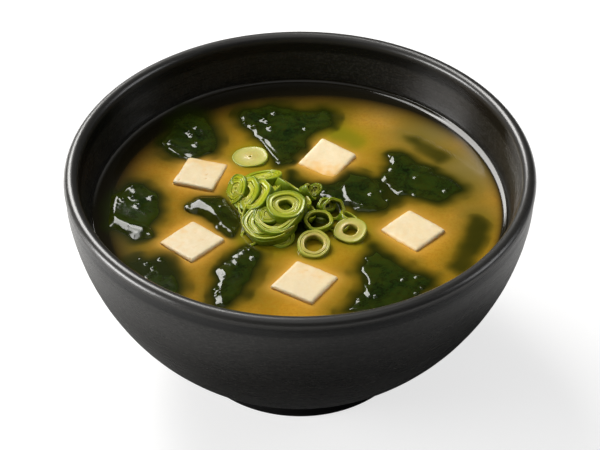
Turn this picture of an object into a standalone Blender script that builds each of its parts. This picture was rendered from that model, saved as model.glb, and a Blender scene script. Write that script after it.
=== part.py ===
"""Miso soup in a dark stoneware bowl: cubes of tofu, wakame leaves and a heap of sliced scallion in broth.

Metres, +Z up. The origin is the middle of the foot ring, on the surface that the bowl stands on.
"""

import math

import bmesh
import bpy
from mathutils import Matrix, Vector, noise

MM = 0.001

# The bowl, a turned form. The body is a quarter ellipse that would end a little below the table.
RIM_RADIUS = 60 * MM
BOWL_HEIGHT = 62 * MM
LIP_RADIUS = 1.8 * MM
LIP_HEIGHT = BOWL_HEIGHT - LIP_RADIUS
BODY_DEPTH = 63.9 * MM
LIP_WALL = 2 * LIP_RADIUS
WALL = 5.2 * MM
WALL_BLEND = math.radians(12)
FLOOR_HEIGHT = 9.5 * MM
FLOOR_FULLNESS = 0.7
FOOT_RADIUS = 31.4 * MM
FOOT_NECK = 31.1 * MM
FOOT_HEIGHT = 4.3 * MM
FOOT_WIDTH = 4.2 * MM
FOOT_CHAMFER = 0.5 * MM
RECESS_DEPTH = 3.2 * MM
BODY_STEPS = 10
FLOOR_STEPS = 9
LIP_STEPS = 6
TURNS = 44

# The broth, up to its level, and how far it stays from what touches it.
LEVEL = 48 * MM
GAP = 0.3 * MM
POCKET_GAP = 1.5 * GAP
POCKET_TOP = LEVEL + 3 * MM

# Tofu: x, y, heading, length, width, skew, lean and the heading that it leans to.
# The middle of the top stands proud of the broth's level.
TOFU_HEIGHT = 11.8 * MM
TOFU_PROUD = 0.7 * MM
TOFU_ROUNDING = 0.5 * MM
TOFU = {
    "tofu_right": (28.8, -11.6, -43, 12.4, 11.4, 2, 1.2, 200),
    "tofu_front": (1.1, -31.0, -31, 12.1, 12.0, 4, 1.5, 80),
    "tofu_left": (-27.3, -15.8, -41, 11.6, 11.9, 3, 1.5, 150),
    "tofu_back_right": (7.3, 17.6, -36, 11.6, 12.2, -2, 6.0, -98),
    "tofu_back_left": (-26.5, 11.6, -12, 11.8, 11.6, -9, 3.5, 75),
}

# Wakame: how far the leaf's middle lies above the level, how deep it ruffles, and the corners of its outline.
LEAF_THICKNESS = 1.1 * MM
LEAF_RIM_POINTS = 20
LEAF_RINGS = 3
RUFFLE_SIZE = 6.5 * MM
FINE_RUFFLE_SIZE = 2.8 * MM
FINE_RUFFLE = 0.4
WAKAME = {
    "wakame_back_left": (0.1, 0.5, [
        (-37.0, 24.0), (-35.8, 20.6), (-31.0, 18.6), (-26.5, 19.6), (-22.6, 21.8), (-22.4, 27.5),
        (-24.6, 33.5), (-26.5, 39.0), (-30.0, 41.0), (-34.5, 37.5), (-36.0, 31.0)]),
    "wakame_back": (0.2, 0.6, [
        (-17.0, 38.5), (-13.0, 41.8), (-6.5, 43.0), (0.5, 40.6), (5.0, 40.8), (9.3, 40.5),
        (9.5, 35.5), (6.6, 31.2), (2.6, 28.0), (0.4, 23.0), (-2.8, 17.8), (-5.8, 16.6),
        (-8.2, 21.8), (-12.0, 28.0), (-15.6, 33.2)]),
    "wakame_left": (0.2, 0.6, [
        (-46.0, 7.4), (-41.5, 8.3), (-38.0, 4.5), (-36.2, 0.5), (-35.2, -3.5), (-36.6, -8.0),
        (-38.2, -12.0), (-39.8, -15.0), (-44.5, -13.8), (-48.2, -10.5), (-49.8, -6.0),
        (-50.0, -1.0), (-48.8, 3.5)]),
    "wakame_curl": (0.4, 0.5, [
        (-28.6, -1.2), (-25.0, 1.4), (-21.0, 0.9), (-17.6, -2.6), (-16.2, -5.8), (-15.8, -9.5),
        (-16.6, -14.0), (-18.9, -12.6), (-20.6, -10.0), (-23.0, -6.6), (-26.2, -4.2)]),
    "wakame_front_left": (-0.1, 0.4, [
        (-43.0, -23.6), (-38.8, -21.8), (-34.6, -20.9), (-32.2, -22.9), (-30.6, -26.0),
        (-29.2, -30.0), (-28.4, -34.5), (-31.0, -37.5), (-36.0, -34.5), (-40.5, -29.0)]),
    "wakame_front": (0.3, 0.6, [
        (-17.2, -20.0), (-14.2, -17.9), (-10.8, -17.4), (-8.6, -19.4), (-8.6, -23.0),
        (-9.8, -27.5), (-11.6, -31.5), (-13.6, -35.5), (-16.0, -40.0), (-19.4, -41.5),
        (-21.4, -38.0), (-21.8, -33.5), (-21.0, -28.5), (-19.0, -24.0)]),
    "wakame_front_right": (0.1, 0.4, [
        (17.6, -15.2), (19.6, -16.2), (25.0, -21.3), (30.5, -26.0), (34.6, -27.8), (35.2, -30.2),
        (33.0, -33.5), (29.0, -38.0), (24.0, -41.5), (17.0, -43.5), (10.0, -43.0), (8.0, -41.0),
        (11.6, -36.4), (14.0, -32.4), (12.8, -28.6), (12.0, -26.0), (14.0, -22.6), (15.8, -19.6)]),
    "wakame_right": (0.2, 0.5, [
        (27.4, 21.0), (30.2, 17.6), (34.2, 14.0), (38.2, 10.8), (42.4, 7.2), (43.2, 5.0),
        (40.6, 2.2), (37.4, 0.6), (33.0, 1.4), (28.5, 2.4), (24.6, 2.4), (22.9, 5.5),
        (22.4, 9.5), (23.2, 14.5), (25.0, 19.6)]),
    "wakame_centre": (0.1, 0.5, [
        (13.4, 12.4), (17.0, 10.8), (20.2, 7.6), (21.4, 4.0), (21.8, 0.8), (20.4, -2.6),
        (17.6, -4.4), (14.0, -2.8), (10.4, -0.8), (6.6, 1.4), (5.6, 3.4), (8.8, 5.0),
        (11.0, 8.8)]),
}

# Scallion slices that lie apart: x, y, height of the face above the level, radius, length, lean, and the
# heading that it leans to.
# The hole's radius, and that of the groove between the outer layers and the core, are shares of the slice's.
SLICE_HOLE = 0.28
SLICE_GROOVE_RADIUS = 0.66
SLICE_GROOVE = 0.25 * MM
SLICE_ROUNDING = 0.35 * MM
SLICE_TURNS = 16
LOOSE_SLICES = {
    "scallion_loose": (-13.4, 18.9, 0.7, 4.6, 3.0, 2, -90),
    "scallion_front": (3.3, -18.1, 1.9, 4.0, 3.2, 12, -80),
    "scallion_right": (12.8, -13.0, 1.9, 3.8, 3.2, 14, -100),
}

# The scallion heap: its foot in the broth, and the slices that stand out of it, in the same terms as above.
HEAP_BOTTOM = LEVEL - 1.4 * MM
HEAP_SHOULDER = LEVEL + 1.0 * MM
HEAP_RIM_POINTS = 40
HEAP_OUTLINE = [
    (-18.2, 0.6), (-17.4, 4.4), (-14.0, 7.8), (-8.0, 9.8), (-2.6, 8.2), (1.6, 3.8), (3.6, -0.6),
    (8.2, -2.8), (12.4, -4.8), (11.6, -7.0), (8.2, -9.0), (6.8, -12.0), (3.2, -12.8),
    (-0.6, -14.0), (-4.5, -15.6), (-9.5, -14.8), (-13.2, -11.8), (-14.2, -6.0), (-14.6, -1.2)]
HEAP_SLICES = [
    (-3.5, -7.4, 5.7, 4.7, 3.6, 14, -80),
    (-7.6, -8.0, 3.9, 6.0, 3.2, 14, -140),
    (-6.0, -10.0, 2.8, 4.8, 2.6, 19, -90),
    (-9.4, 4.6, 3.6, 4.4, 3.6, 15, 80),
    (-14.9, 1.8, 2.6, 2.9, 3.0, 48, 190),
    (-10.6, -2.4, 3.4, 4.2, 3.2, 22, 170),
    (-1.6, 3.2, 3.4, 3.9, 2.8, 52, 20),
    (0.8, -2.2, 2.6, 3.0, 2.6, 25, 40),
    (4.2, -9.4, 2.7, 3.1, 3.0, 22, -90),
    (8.4, -5.8, 2.6, 3.1, 2.7, 26, -60),
]


def clear_scene():
    for obj in list(bpy.data.objects):
        bpy.data.objects.remove(obj, do_unlink=True)


def new_collection(name):
    collection = bpy.data.collections.new(name)
    bpy.context.scene.collection.children.link(collection)
    return collection


def new_material(name, colour, roughness):
    material = bpy.data.materials.new(name)
    material.use_nodes = True
    shader = material.node_tree.nodes["Principled BSDF"]
    shader.inputs["Base Color"].default_value = (*colour, 1)
    shader.inputs["Roughness"].default_value = roughness
    shader.inputs["Metallic"].default_value = 0
    return material


def new_object(name, mesh, collection, material=None):
    obj = bpy.data.objects.new(name, mesh)
    collection.objects.link(obj)
    if material:
        mesh.materials.append(material)
    return obj


def as_cutter(obj):
    obj.hide_render = True
    obj.display_type = "WIRE"
    return obj


def mesh_from(name, shape):
    bmesh.ops.recalc_face_normals(shape, faces=shape.faces)
    mesh = bpy.data.meshes.new(name)
    shape.to_mesh(mesh)
    shape.free()
    return mesh


def smooth(obj, angle=40):
    obj.data.shade_smooth()
    obj.data.set_sharp_from_angle(angle=math.radians(angle))


def turned(name, profile, collection, material, turns):
    """A profile of (radius, height) points, turned round Z. It runs down its outer side."""
    mesh = bpy.data.meshes.new(name)
    points = [(radius, 0, height) for radius, height in profile]
    closed = profile[0][0] > 0 and profile[-1][0] > 0
    last = len(points) - (0 if closed else 1)
    mesh.from_pydata(points, [(i, (i + 1) % len(points)) for i in range(last)], [])
    obj = new_object(name, mesh, collection, material)
    screw = obj.modifiers.new("turned", "SCREW")
    screw.steps = screw.render_steps = turns
    screw.use_merge_vertices = True
    screw.merge_threshold = 0.01 * MM
    screw.use_smooth_shade = True
    return obj


def tilt(lean, heading):
    """A rotation that leans +Z by lean degrees towards a heading in the XY plane."""
    toward = math.radians(heading)
    axis = Vector((-math.sin(toward), math.cos(toward), 0))
    return Matrix.Rotation(math.radians(lean), 4, axis)


def body_point(angle):
    """The outside of the body: angle 0 is the rim, a right angle is the axis."""
    return RIM_RADIUS * math.cos(angle), LIP_HEIGHT - BODY_DEPTH * math.sin(angle)


def wall_point(angle):
    """The inside of the wall, which thickens below the lip and flattens out into the floor."""
    thickness = LIP_WALL + (WALL - LIP_WALL) * min(angle / WALL_BLEND, 1)
    radius = (RIM_RADIUS - thickness) * max(math.cos(angle), 0) ** FLOOR_FULLNESS
    return radius, LIP_HEIGHT - (LIP_HEIGHT - FLOOR_HEIGHT) * math.sin(angle)


def wall_angles():
    """From the rim to the axis, closer together below the lip, where the thickness changes."""
    rest = math.pi / 2 - WALL_BLEND
    return [0, WALL_BLEND / 2] + [WALL_BLEND + rest * i / FLOOR_STEPS for i in range(FLOOR_STEPS)]


def lip_points():
    """Half a circle over the rim, from its inner side to its outer side."""
    middle = RIM_RADIUS - LIP_RADIUS
    angles = [math.pi * i / LIP_STEPS for i in range(1, LIP_STEPS)]
    return [(middle - LIP_RADIUS * math.cos(a), LIP_HEIGHT + LIP_RADIUS * math.sin(a)) for a in angles]


def foot_points():
    """The foot ring and the recess inside it."""
    inner = FOOT_RADIUS - FOOT_WIDTH
    return [
        (FOOT_NECK, FOOT_HEIGHT),
        (FOOT_RADIUS, FOOT_CHAMFER),
        (FOOT_RADIUS - FOOT_CHAMFER, 0),
        (inner + FOOT_CHAMFER, 0),
        (inner, FOOT_CHAMFER),
        (inner - FOOT_CHAMFER, RECESS_DEPTH),
        (0, RECESS_DEPTH),
    ]


def make_bowl(collection, material):
    inside = [(0, FLOOR_HEIGHT)] + [wall_point(a) for a in reversed(wall_angles())]
    foot_angle = math.acos((FOOT_RADIUS + FOOT_CHAMFER) / RIM_RADIUS)
    outside = [body_point(foot_angle * i / BODY_STEPS) for i in range(BODY_STEPS + 1)]
    profile = inside + lip_points() + outside + foot_points()
    return turned("bowl", profile, collection, material, TURNS)


def make_broth(collection, material, cutters):
    """The broth fills the bowl to its level, and every solid that breaks the surface has a pocket in it."""
    level_angle = math.asin((LIP_HEIGHT - LEVEL) / (LIP_HEIGHT - FLOOR_HEIGHT))
    below = [a for a in wall_angles() if a > level_angle + WALL_BLEND / 10]
    side = [(wall_point(a)[0] - GAP, wall_point(a)[1] + GAP) for a in below]
    edge = wall_point(level_angle)[0] - GAP
    profile = [(0, LEVEL), (edge, LEVEL)] + side + [(0, FLOOR_HEIGHT + GAP)]
    broth = turned("broth", profile, collection, material, TURNS)
    pockets = broth.modifiers.new("pockets", "BOOLEAN")
    pockets.operand_type = "COLLECTION"
    pockets.collection = cutters
    pockets.operation = "DIFFERENCE"
    return broth


def skewed_box(name, length, width, height, skew):
    """A box with its top at z = 0 whose corners are skew degrees off square."""
    shape = bmesh.new()
    bmesh.ops.create_cube(shape, size=1)
    shear = math.tan(math.radians(skew))
    for vert in shape.verts:
        x, y, z = vert.co
        vert.co = (x * length + y * width * shear, y * width, (z - 0.5) * height)
    return mesh_from(name, shape)


def make_tofu(name, placing, collection, material, cutters):
    x, y, heading, length, width, skew, lean, toward = placing
    length, width = length * MM, width * MM
    place = (
        Matrix.Translation((x * MM, y * MM, LEVEL + TOFU_PROUD))
        @ tilt(lean, toward)
        @ Matrix.Rotation(math.radians(heading), 4, "Z")
    )
    cube = new_object(name, skewed_box(name, length, width, TOFU_HEIGHT, skew), collection, material)
    cube.matrix_world = place
    rounding = cube.modifiers.new("rounding", "BEVEL")
    rounding.width = TOFU_ROUNDING
    rounding.segments = 2
    smooth(cube)
    above = POCKET_TOP - LEVEL
    depth = TOFU_HEIGHT + GAP + above
    room = skewed_box(name + "_pocket", length + 2 * GAP, width + 2 * GAP, depth, skew)
    pocket = as_cutter(new_object(name + "_pocket", room, cutters))
    pocket.matrix_world = place @ Matrix.Translation((0, 0, above))


def curve_through(corners, steps):
    """A closed Catmull-Rom curve through the corners, with so many steps from each to the next."""
    points = []
    for i in range(len(corners)):
        before, start, end, after = (corners[(i + k) % len(corners)] for k in (-1, 0, 1, 2))
        for t in (step / steps for step in range(steps)):
            pull = (end - before) * t + (2 * before - 5 * start + 4 * end - after) * t * t
            turn = (3 * start - before - 3 * end + after) * t * t * t
            points.append(start + (pull + turn) / 2)
    return points


def smooth_loop(corners, count):
    """So many points, evenly apart, along a smooth closed curve through the corners in millimetres."""
    dense = curve_through([Vector((x, y, 0)) * MM for x, y in corners], 4)
    lengths = [(dense[(i + 1) % len(dense)] - dense[i]).length for i in range(len(dense))]
    spacing = sum(lengths) / count
    points, walked, wanted = [], 0, 0
    for i, length in enumerate(lengths):
        while wanted < walked + length and len(points) < count:
            points.append(dense[i].lerp(dense[(i + 1) % len(dense)], (wanted - walked) / length))
            wanted += spacing
        walked += length
    return points


def grown(loop, amount):
    """The closed loop moved outwards by an amount, along the normal at each of its points."""
    moved = []
    turn = sum(loop[i - 1].cross(loop[i]).z for i in range(len(loop)))
    for i, point in enumerate(loop):
        along = loop[(i + 1) % len(loop)] - loop[i - 1]
        outward = Vector((along.y, -along.x, 0)).normalized() * math.copysign(1, turn)
        moved.append(point + outward * amount)
    return moved


def prism(name, loop, bottom, top):
    shape = bmesh.new()
    base = shape.faces.new([shape.verts.new((p.x, p.y, bottom)) for p in loop])
    raised = bmesh.ops.extrude_face_region(shape, geom=[base])["geom"]
    for vert in raised:
        if isinstance(vert, bmesh.types.BMVert):
            vert.co.z = top
    return mesh_from(name, shape)


def leaf_height(point, lift, ruffle):
    """The height of the leaf's middle surface: broad ruffles with finer ones on them."""
    wave = noise.noise(point / RUFFLE_SIZE) + FINE_RUFFLE * noise.noise(point / FINE_RUFFLE_SIZE)
    return LEVEL + (lift + ruffle * wave) * MM


def leaf_sheet(name, loop, lift, ruffle):
    """A sheet of rings from the leaf's outline to its middle, each point at the ruffled height."""
    shape = bmesh.new()
    middle = sum(loop, Vector()) / len(loop)
    hub = shape.verts.new(middle)
    rings = [
        [shape.verts.new(middle.lerp(p, ring / LEAF_RINGS)) for p in loop]
        for ring in range(1, LEAF_RINGS + 1)
    ]
    for i in range(len(loop)):
        after = (i + 1) % len(loop)
        shape.faces.new((hub, rings[0][i], rings[0][after]))
        for inner, outer in zip(rings, rings[1:]):
            shape.faces.new((inner[i], outer[i], outer[after], inner[after]))
    for vert in shape.verts:
        vert.co.z = leaf_height(vert.co, lift, ruffle)
    return mesh_from(name, shape)


def make_wakame(name, leaf, collection, material, cutters):
    lift, ruffle, corners = leaf
    loop = smooth_loop(corners, LEAF_RIM_POINTS)
    sheet = leaf_sheet(name, loop, lift, ruffle)
    lowest = min(vert.co.z for vert in sheet.vertices) - LEAF_THICKNESS / 2
    obj = new_object(name, sheet, collection, material)
    body = obj.modifiers.new("thickness", "SOLIDIFY")
    body.thickness = LEAF_THICKNESS
    body.offset = 0
    smooth(obj, 60)
    room = prism(name + "_pocket", grown(loop, POCKET_GAP), lowest - GAP, POCKET_TOP)
    as_cutter(new_object(name + "_pocket", room, cutters))


def slice_place(x, y, face_height, lean, toward):
    return Matrix.Translation((x * MM, y * MM, LEVEL + face_height * MM)) @ tilt(lean, toward)


def slice_profile(radius, length):
    """A tube with rounded edges and a groove between the outer layers and the core, its face at z = 0."""
    hole = radius * SLICE_HOLE
    groove = radius * SLICE_GROOVE_RADIUS
    edge = SLICE_ROUNDING
    return [
        (hole, -edge), (hole + edge, 0),
        (groove - edge, 0), (groove, -SLICE_GROOVE), (groove + edge, 0),
        (radius - edge, 0), (radius, -edge),
        (radius, edge - length), (radius - edge, -length),
        (hole + edge, -length), (hole, edge - length),
    ]


def make_loose_slice(name, placing, collection, material, cutters):
    x, y, face_height, radius, length, lean, toward = placing
    place = slice_place(x, y, face_height, lean, toward)
    obj = turned(name, slice_profile(radius * MM, length * MM), collection, material, SLICE_TURNS)
    obj.matrix_world = place
    above = POCKET_TOP - LEVEL
    outer = radius * MM + POCKET_GAP
    room = [(0, above), (outer, above), (outer, -length * MM - GAP), (0, -length * MM - GAP)]
    pocket = as_cutter(turned(name + "_pocket", room, cutters, None, SLICE_TURNS))
    pocket.matrix_world = place


def drum(name, radius, length):
    """A plain cylinder along Z, with its middle at the origin."""
    shape = bmesh.new()
    bmesh.ops.create_cone(
        shape, cap_ends=True, segments=SLICE_TURNS, radius1=radius, radius2=radius, depth=length
    )
    return mesh_from(name, shape)


def make_heap(collection, material, cutters, heap_slices):
    """One solid: a low foot in the broth, joined with the slices that make the heap's uneven outline."""
    loop = smooth_loop(HEAP_OUTLINE, HEAP_RIM_POINTS)
    foot = prism("scallion_heap", loop, HEAP_BOTTOM, HEAP_SHOULDER)
    heap = new_object("scallion_heap", foot, collection, material)
    for number, (x, y, face_height, radius, length, lean, toward) in enumerate(HEAP_SLICES):
        name = f"heap_slice_{number}"
        middle = Matrix.Translation((0, 0, -length * MM / 2))
        one = as_cutter(new_object(name, drum(name, radius * MM, length * MM), heap_slices))
        one.matrix_world = slice_place(x, y, face_height, lean, toward) @ middle
    joined = heap.modifiers.new("slices", "BOOLEAN")
    joined.operand_type = "COLLECTION"
    joined.collection = heap_slices
    joined.operation = "UNION"
    room = prism("heap_pocket", grown(loop, POCKET_GAP), HEAP_BOTTOM - GAP, POCKET_TOP)
    as_cutter(new_object("heap_pocket", room, cutters))


def main():
    clear_scene()
    parts = new_collection("miso_soup")
    cutters = new_collection("pockets")
    heap_slices = new_collection("heap_slices")
    stoneware = new_material("stoneware", (0.022, 0.021, 0.02), 0.55)
    broth = new_material("broth", (0.56, 0.29, 0.035), 0.12)
    tofu = new_material("tofu", (0.93, 0.8, 0.52), 0.4)
    wakame = new_material("wakame", (0.03, 0.045, 0.008), 0.2)
    scallion = new_material("scallion", (0.3, 0.48, 0.04), 0.35)
    make_bowl(parts, stoneware)
    for name, placing in TOFU.items():
        make_tofu(name, placing, parts, tofu, cutters)
    for name, leaf in WAKAME.items():
        make_wakame(name, leaf, parts, wakame, cutters)
    for name, placing in LOOSE_SLICES.items():
        make_loose_slice(name, placing, parts, scallion, cutters)
    make_heap(parts, scallion, cutters, heap_slices)
    make_broth(parts, broth, cutters)


main()
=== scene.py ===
# %% [markdown]
# # A bowl of miso soup
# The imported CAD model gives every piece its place: a stoneware bowl, broth, five tofu cubes, nine
# wakame leaves and sliced scallion. This lesson builds the look of each around those solids. The frame is
# loaded first, because every size below is read from it or stands next to a size that is.

# %% Load the frame
import math

import bpy
import numpy as np
from mathutils import Matrix, Vector, noise
from mathutils.bvhtree import BVHTree
from mathutils.geometry import delaunay_2d_cdt


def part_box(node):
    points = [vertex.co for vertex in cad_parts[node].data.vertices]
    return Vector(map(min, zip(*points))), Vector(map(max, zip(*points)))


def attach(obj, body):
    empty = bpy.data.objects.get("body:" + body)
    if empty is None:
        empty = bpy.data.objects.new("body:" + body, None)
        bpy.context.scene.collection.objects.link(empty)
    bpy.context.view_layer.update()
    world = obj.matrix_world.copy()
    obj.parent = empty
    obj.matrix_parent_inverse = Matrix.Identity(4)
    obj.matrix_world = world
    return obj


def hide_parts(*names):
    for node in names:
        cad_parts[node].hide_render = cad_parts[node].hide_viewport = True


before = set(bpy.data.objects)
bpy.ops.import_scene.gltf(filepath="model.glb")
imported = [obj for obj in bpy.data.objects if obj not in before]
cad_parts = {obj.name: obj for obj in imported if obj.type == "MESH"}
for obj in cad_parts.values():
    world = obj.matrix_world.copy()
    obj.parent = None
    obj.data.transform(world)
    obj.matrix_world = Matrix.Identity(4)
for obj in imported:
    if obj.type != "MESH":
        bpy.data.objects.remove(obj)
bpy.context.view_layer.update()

MM = 0.001
bowl_top, broth_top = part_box("bowl")[1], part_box("broth")[1]
RIM_RADIUS, BOWL_HEIGHT, LEVEL = bowl_top.x, bowl_top.z, broth_top.z
print(f"rim radius {RIM_RADIUS / MM:.1f} mm, height {BOWL_HEIGHT / MM:.1f} mm")
print(f"broth level {LEVEL / MM:.1f} mm")

# %% [markdown]
# ## Stage, camera and lights
# A table of plain pale board, and a lens that looks down over the front of the rim. The camera could be
# anywhere; this height shows the food and the side of the bowl at once. It's aimed a little above the middle
# of the bowl, and its long lens keeps the rim's ellipse calm.

# %% The camera
CAMERA_ELEVATION = math.radians(40.5)
CAMERA_DISTANCE = 420 * MM
AIM_HEIGHT = 40.2 * MM
FOCAL_LENGTH = 95.6  # in millimetres, on Blender's 36 mm wide sensor

camera = bpy.data.objects.new("camera", bpy.data.cameras.new("camera"))
bpy.context.scene.collection.objects.link(camera)
aim = Vector((0, 0, AIM_HEIGHT))
back_off = Vector((0, -math.cos(CAMERA_ELEVATION), math.sin(CAMERA_ELEVATION)))
camera.location = aim + back_off * CAMERA_DISTANCE
camera.rotation_euler = (-back_off).to_track_quat("-Z", "Y").to_euler()
camera.data.lens = FOCAL_LENGTH
camera.data.clip_start = 10 * MM
bpy.context.scene.camera = camera
print("camera", [round(c, 4) for c in camera.location])

# %% [markdown]
# Glossy wet food shows the shape of each lamp, so the lamps are few and large. The key softbox stands behind
# the bowl on the left, with a small strip over it that draws a line along the lip. A long low one on the left
# and a weaker one on the right brighten the sides of the bowl, and a wide one overhead lights the table and
# the tofu. The level broth mirrors what stands behind the bowl at the camera's own height, so nothing stands
# exactly there.

# %% Lamps
def softbox(name, azimuth, elevation, distance, size, power, colour=(1, 1, 1)):
    """A rectangular area lamp that faces the bowl from an azimuth and an elevation in degrees."""
    lamp = bpy.data.lights.new(name, "AREA")
    lamp.shape = "RECTANGLE"
    lamp.size, lamp.size_y = size
    lamp.energy = power
    lamp.color = colour
    turn, lift = math.radians(azimuth), math.radians(elevation)
    toward = Vector((math.cos(turn) * math.cos(lift), math.sin(turn) * math.cos(lift), math.sin(lift)))
    obj = bpy.data.objects.new(name, lamp)
    obj.location = aim + toward * distance
    obj.rotation_euler = (-toward).to_track_quat("-Z", "Y").to_euler()
    bpy.context.scene.collection.objects.link(obj)
    return obj


softbox("key", 122, 43, 0.9, (0.40, 0.50), 9.4, (1.0, 0.985, 0.96))
softbox("strip", 109, 60, 0.9, (0.13, 0.13), 0.6, (1.0, 0.99, 0.97))
softbox("side", 190, 14, 0.9, (0.5, 0.26), 9.0, (1.0, 0.99, 0.98))
softbox("fill", 2, 28, 0.9, (0.34, 0.34), 1.7, (0.97, 0.98, 1.0))
softbox("overhead", -100, 80, 1.0, (0.9, 0.9), 1.7)

# %% [markdown]
# A dark glaze shows every light in the room, so the room itself gives next to none. The Standard view
# transform keeps the broth's orange and the tofu's cream as they are mixed below.

# %% The room
world = bpy.data.worlds.new("room")
bpy.context.scene.world = world
world.use_nodes = True
background = world.node_tree.nodes["Background"]
background.inputs["Color"].default_value = (0.9, 0.94, 1.0, 1)
background.inputs["Strength"].default_value = 0.05
bpy.context.scene.view_settings.view_transform = "Standard"
print("room light", background.inputs["Strength"].default_value)

# %% [markdown]
# ## Small helpers for materials
# Every finish is a few nodes around one Principled shader. These helpers keep each of them to a few lines.

# %% Material helpers
def node(tree, kind, **values):
    """A new node. A value goes to the input of that name, or else to the setting of that name."""
    made = tree.nodes.new("ShaderNode" + kind)
    for key, value in values.items():
        name = key.replace("_", " ")
        if name in made.inputs:
            made.inputs[name].default_value = value
        else:
            setattr(made, key, value)
    return made


def finish_material(name, **values):
    """A material with its Principled shader's own sockets set, and the shader."""
    made = bpy.data.materials.new(name)
    made.use_nodes = True
    shader = made.node_tree.nodes["Principled BSDF"]
    for key, value in values.items():
        shader.inputs[key.replace("_", " ")].default_value = value
    print("finish:", name)
    return made, made.node_tree, shader


def mix_colour(tree, factor, first, second):
    """The Mix node's colour result between two colours or sockets."""
    mixer = node(tree, "Mix", data_type="RGBA", clamp_factor=True)
    for index, value in ((0, factor), (6, first), (7, second)):
        if isinstance(value, bpy.types.NodeSocket):
            tree.links.new(value, mixer.inputs[index])
        else:
            mixer.inputs[index].default_value = value if index == 0 else (*value, 1)
    return mixer.outputs[2]


def spread(tree, value, low, high, to_low=0.0, to_high=1.0):
    """A value's range low to high spread smoothly over to_low to to_high."""
    ranger = node(tree, "MapRange", interpolation_type="SMOOTHSTEP")
    tree.links.new(value, ranger.inputs["Value"])
    for name, number in (("From Min", low), ("From Max", high), ("To Min", to_low), ("To Max", to_high)):
        ranger.inputs[name].default_value = number
    return ranger.outputs["Result"]


def attribute(tree, name):
    """The value that each point of the mesh carries under a name."""
    return node(tree, "Attribute", attribute_name=name).outputs["Fac"]


def either(tree, first, second):
    """The larger of two sockets' values."""
    larger = node(tree, "Math", operation="MAXIMUM")
    tree.links.new(first, larger.inputs[0])
    tree.links.new(second, larger.inputs[1])
    return larger.outputs[0]


# %% [markdown]
# Two effects turn up in nearly every finish here. "Mottle" is a soft blotchy mask, for clouds in the broth,
# stain on the tofu and colour changes in a leaf. "Grain" is a fine height for bumps too small to model.
# Each is a node group, so that a finish only says how large and how strong.

# %% Node groups
def new_group(name, inputs, outputs):
    """An empty node group with its named inputs and outputs, and the nodes that stand for them."""
    group = bpy.data.node_groups.new(name, "ShaderNodeTree")
    for socket, value in inputs:
        made = group.interface.new_socket(socket, in_out="INPUT", socket_type="NodeSocketFloat")
        made.default_value = value
    for socket in outputs:
        group.interface.new_socket(socket, in_out="OUTPUT", socket_type="NodeSocketFloat")
    return group, group.nodes.new("NodeGroupInput"), group.nodes.new("NodeGroupOutput")


def scale_of(group, entry, socket):
    """Noise scale from a size in millimetres: 1000 / size."""
    divide = node(group, "Math", operation="DIVIDE")
    divide.inputs[0].default_value = 1 / MM
    group.links.new(entry.outputs[socket], divide.inputs[1])
    return divide.outputs[0]


def make_mottle():
    """A soft mask of warped noise, 0 and 1 with a blurred border between them."""
    group, entry, exit_ = new_group("mottle", [("Size", 5.0), ("Warp", 0.6), ("Softness", 0.2)], ["Mask"])
    place = node(group, "TexCoord").outputs["Object"]
    field = node(group, "TexNoise", Detail=3.0, Roughness=0.55)
    group.links.new(place, field.inputs["Vector"])
    group.links.new(scale_of(group, entry, "Size"), field.inputs["Scale"])
    group.links.new(entry.outputs["Warp"], field.inputs["Distortion"])
    ranger = node(group, "MapRange", interpolation_type="SMOOTHSTEP")
    group.links.new(field.outputs["Fac"], ranger.inputs["Value"])
    for socket, operation in (("From Min", "SUBTRACT"), ("From Max", "ADD")):
        edge = node(group, "Math", operation=operation)
        edge.inputs[0].default_value = 0.5
        group.links.new(entry.outputs["Softness"], edge.inputs[1])
        group.links.new(edge.outputs[0], ranger.inputs[socket])
    group.links.new(ranger.outputs["Result"], exit_.inputs["Mask"])
    return group


def make_grain():
    """A fine noise height, blended with small round pits."""
    group, entry, exit_ = new_group("grain", [("Size", 0.6), ("Pits", 0.5)], ["Height"])
    place = node(group, "TexCoord").outputs["Object"]
    scale = scale_of(group, entry, "Size")
    field = node(group, "TexNoise", Detail=4.0, Roughness=0.6)
    cells = node(group, "TexVoronoi", feature="F1")
    for texture in (field, cells):
        group.links.new(place, texture.inputs["Vector"])
        group.links.new(scale, texture.inputs["Scale"])
    pit = spread(group, cells.outputs["Distance"], 0.05, 0.35)
    blend = node(group, "Mix", data_type="FLOAT")
    group.links.new(entry.outputs["Pits"], blend.inputs[0])
    group.links.new(field.outputs["Fac"], blend.inputs[2])
    group.links.new(pit, blend.inputs[3])
    group.links.new(blend.outputs[0], exit_.inputs["Height"])
    return group


MOTTLE, GRAIN = make_mottle(), make_grain()


def effect(tree, group, **values):
    """One use of a node group, with its values set, and its first output."""
    made = tree.nodes.new("ShaderNodeGroup")
    made.node_tree = group
    for key, value in values.items():
        made.inputs[key].default_value = value
    return made.outputs[0]


def bump(tree, shader, height, strength, depth):
    """A Bump node from a height socket to the shader's Normal; depth is in millimetres."""
    made = node(tree, "Bump", Strength=strength, Distance=depth * MM)
    tree.links.new(height, made.inputs["Height"])
    tree.links.new(made.outputs["Normal"], shader.inputs["Normal"])
    return made


print("node groups", MOTTLE.name, GRAIN.name)

# %% [markdown]
# ## Helpers for meshes
# All pieces are made of plain lists of points and faces, worked out with NumPy. The objects stay at the
# origin, so a point's place in its mesh is its place in the frame.

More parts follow.
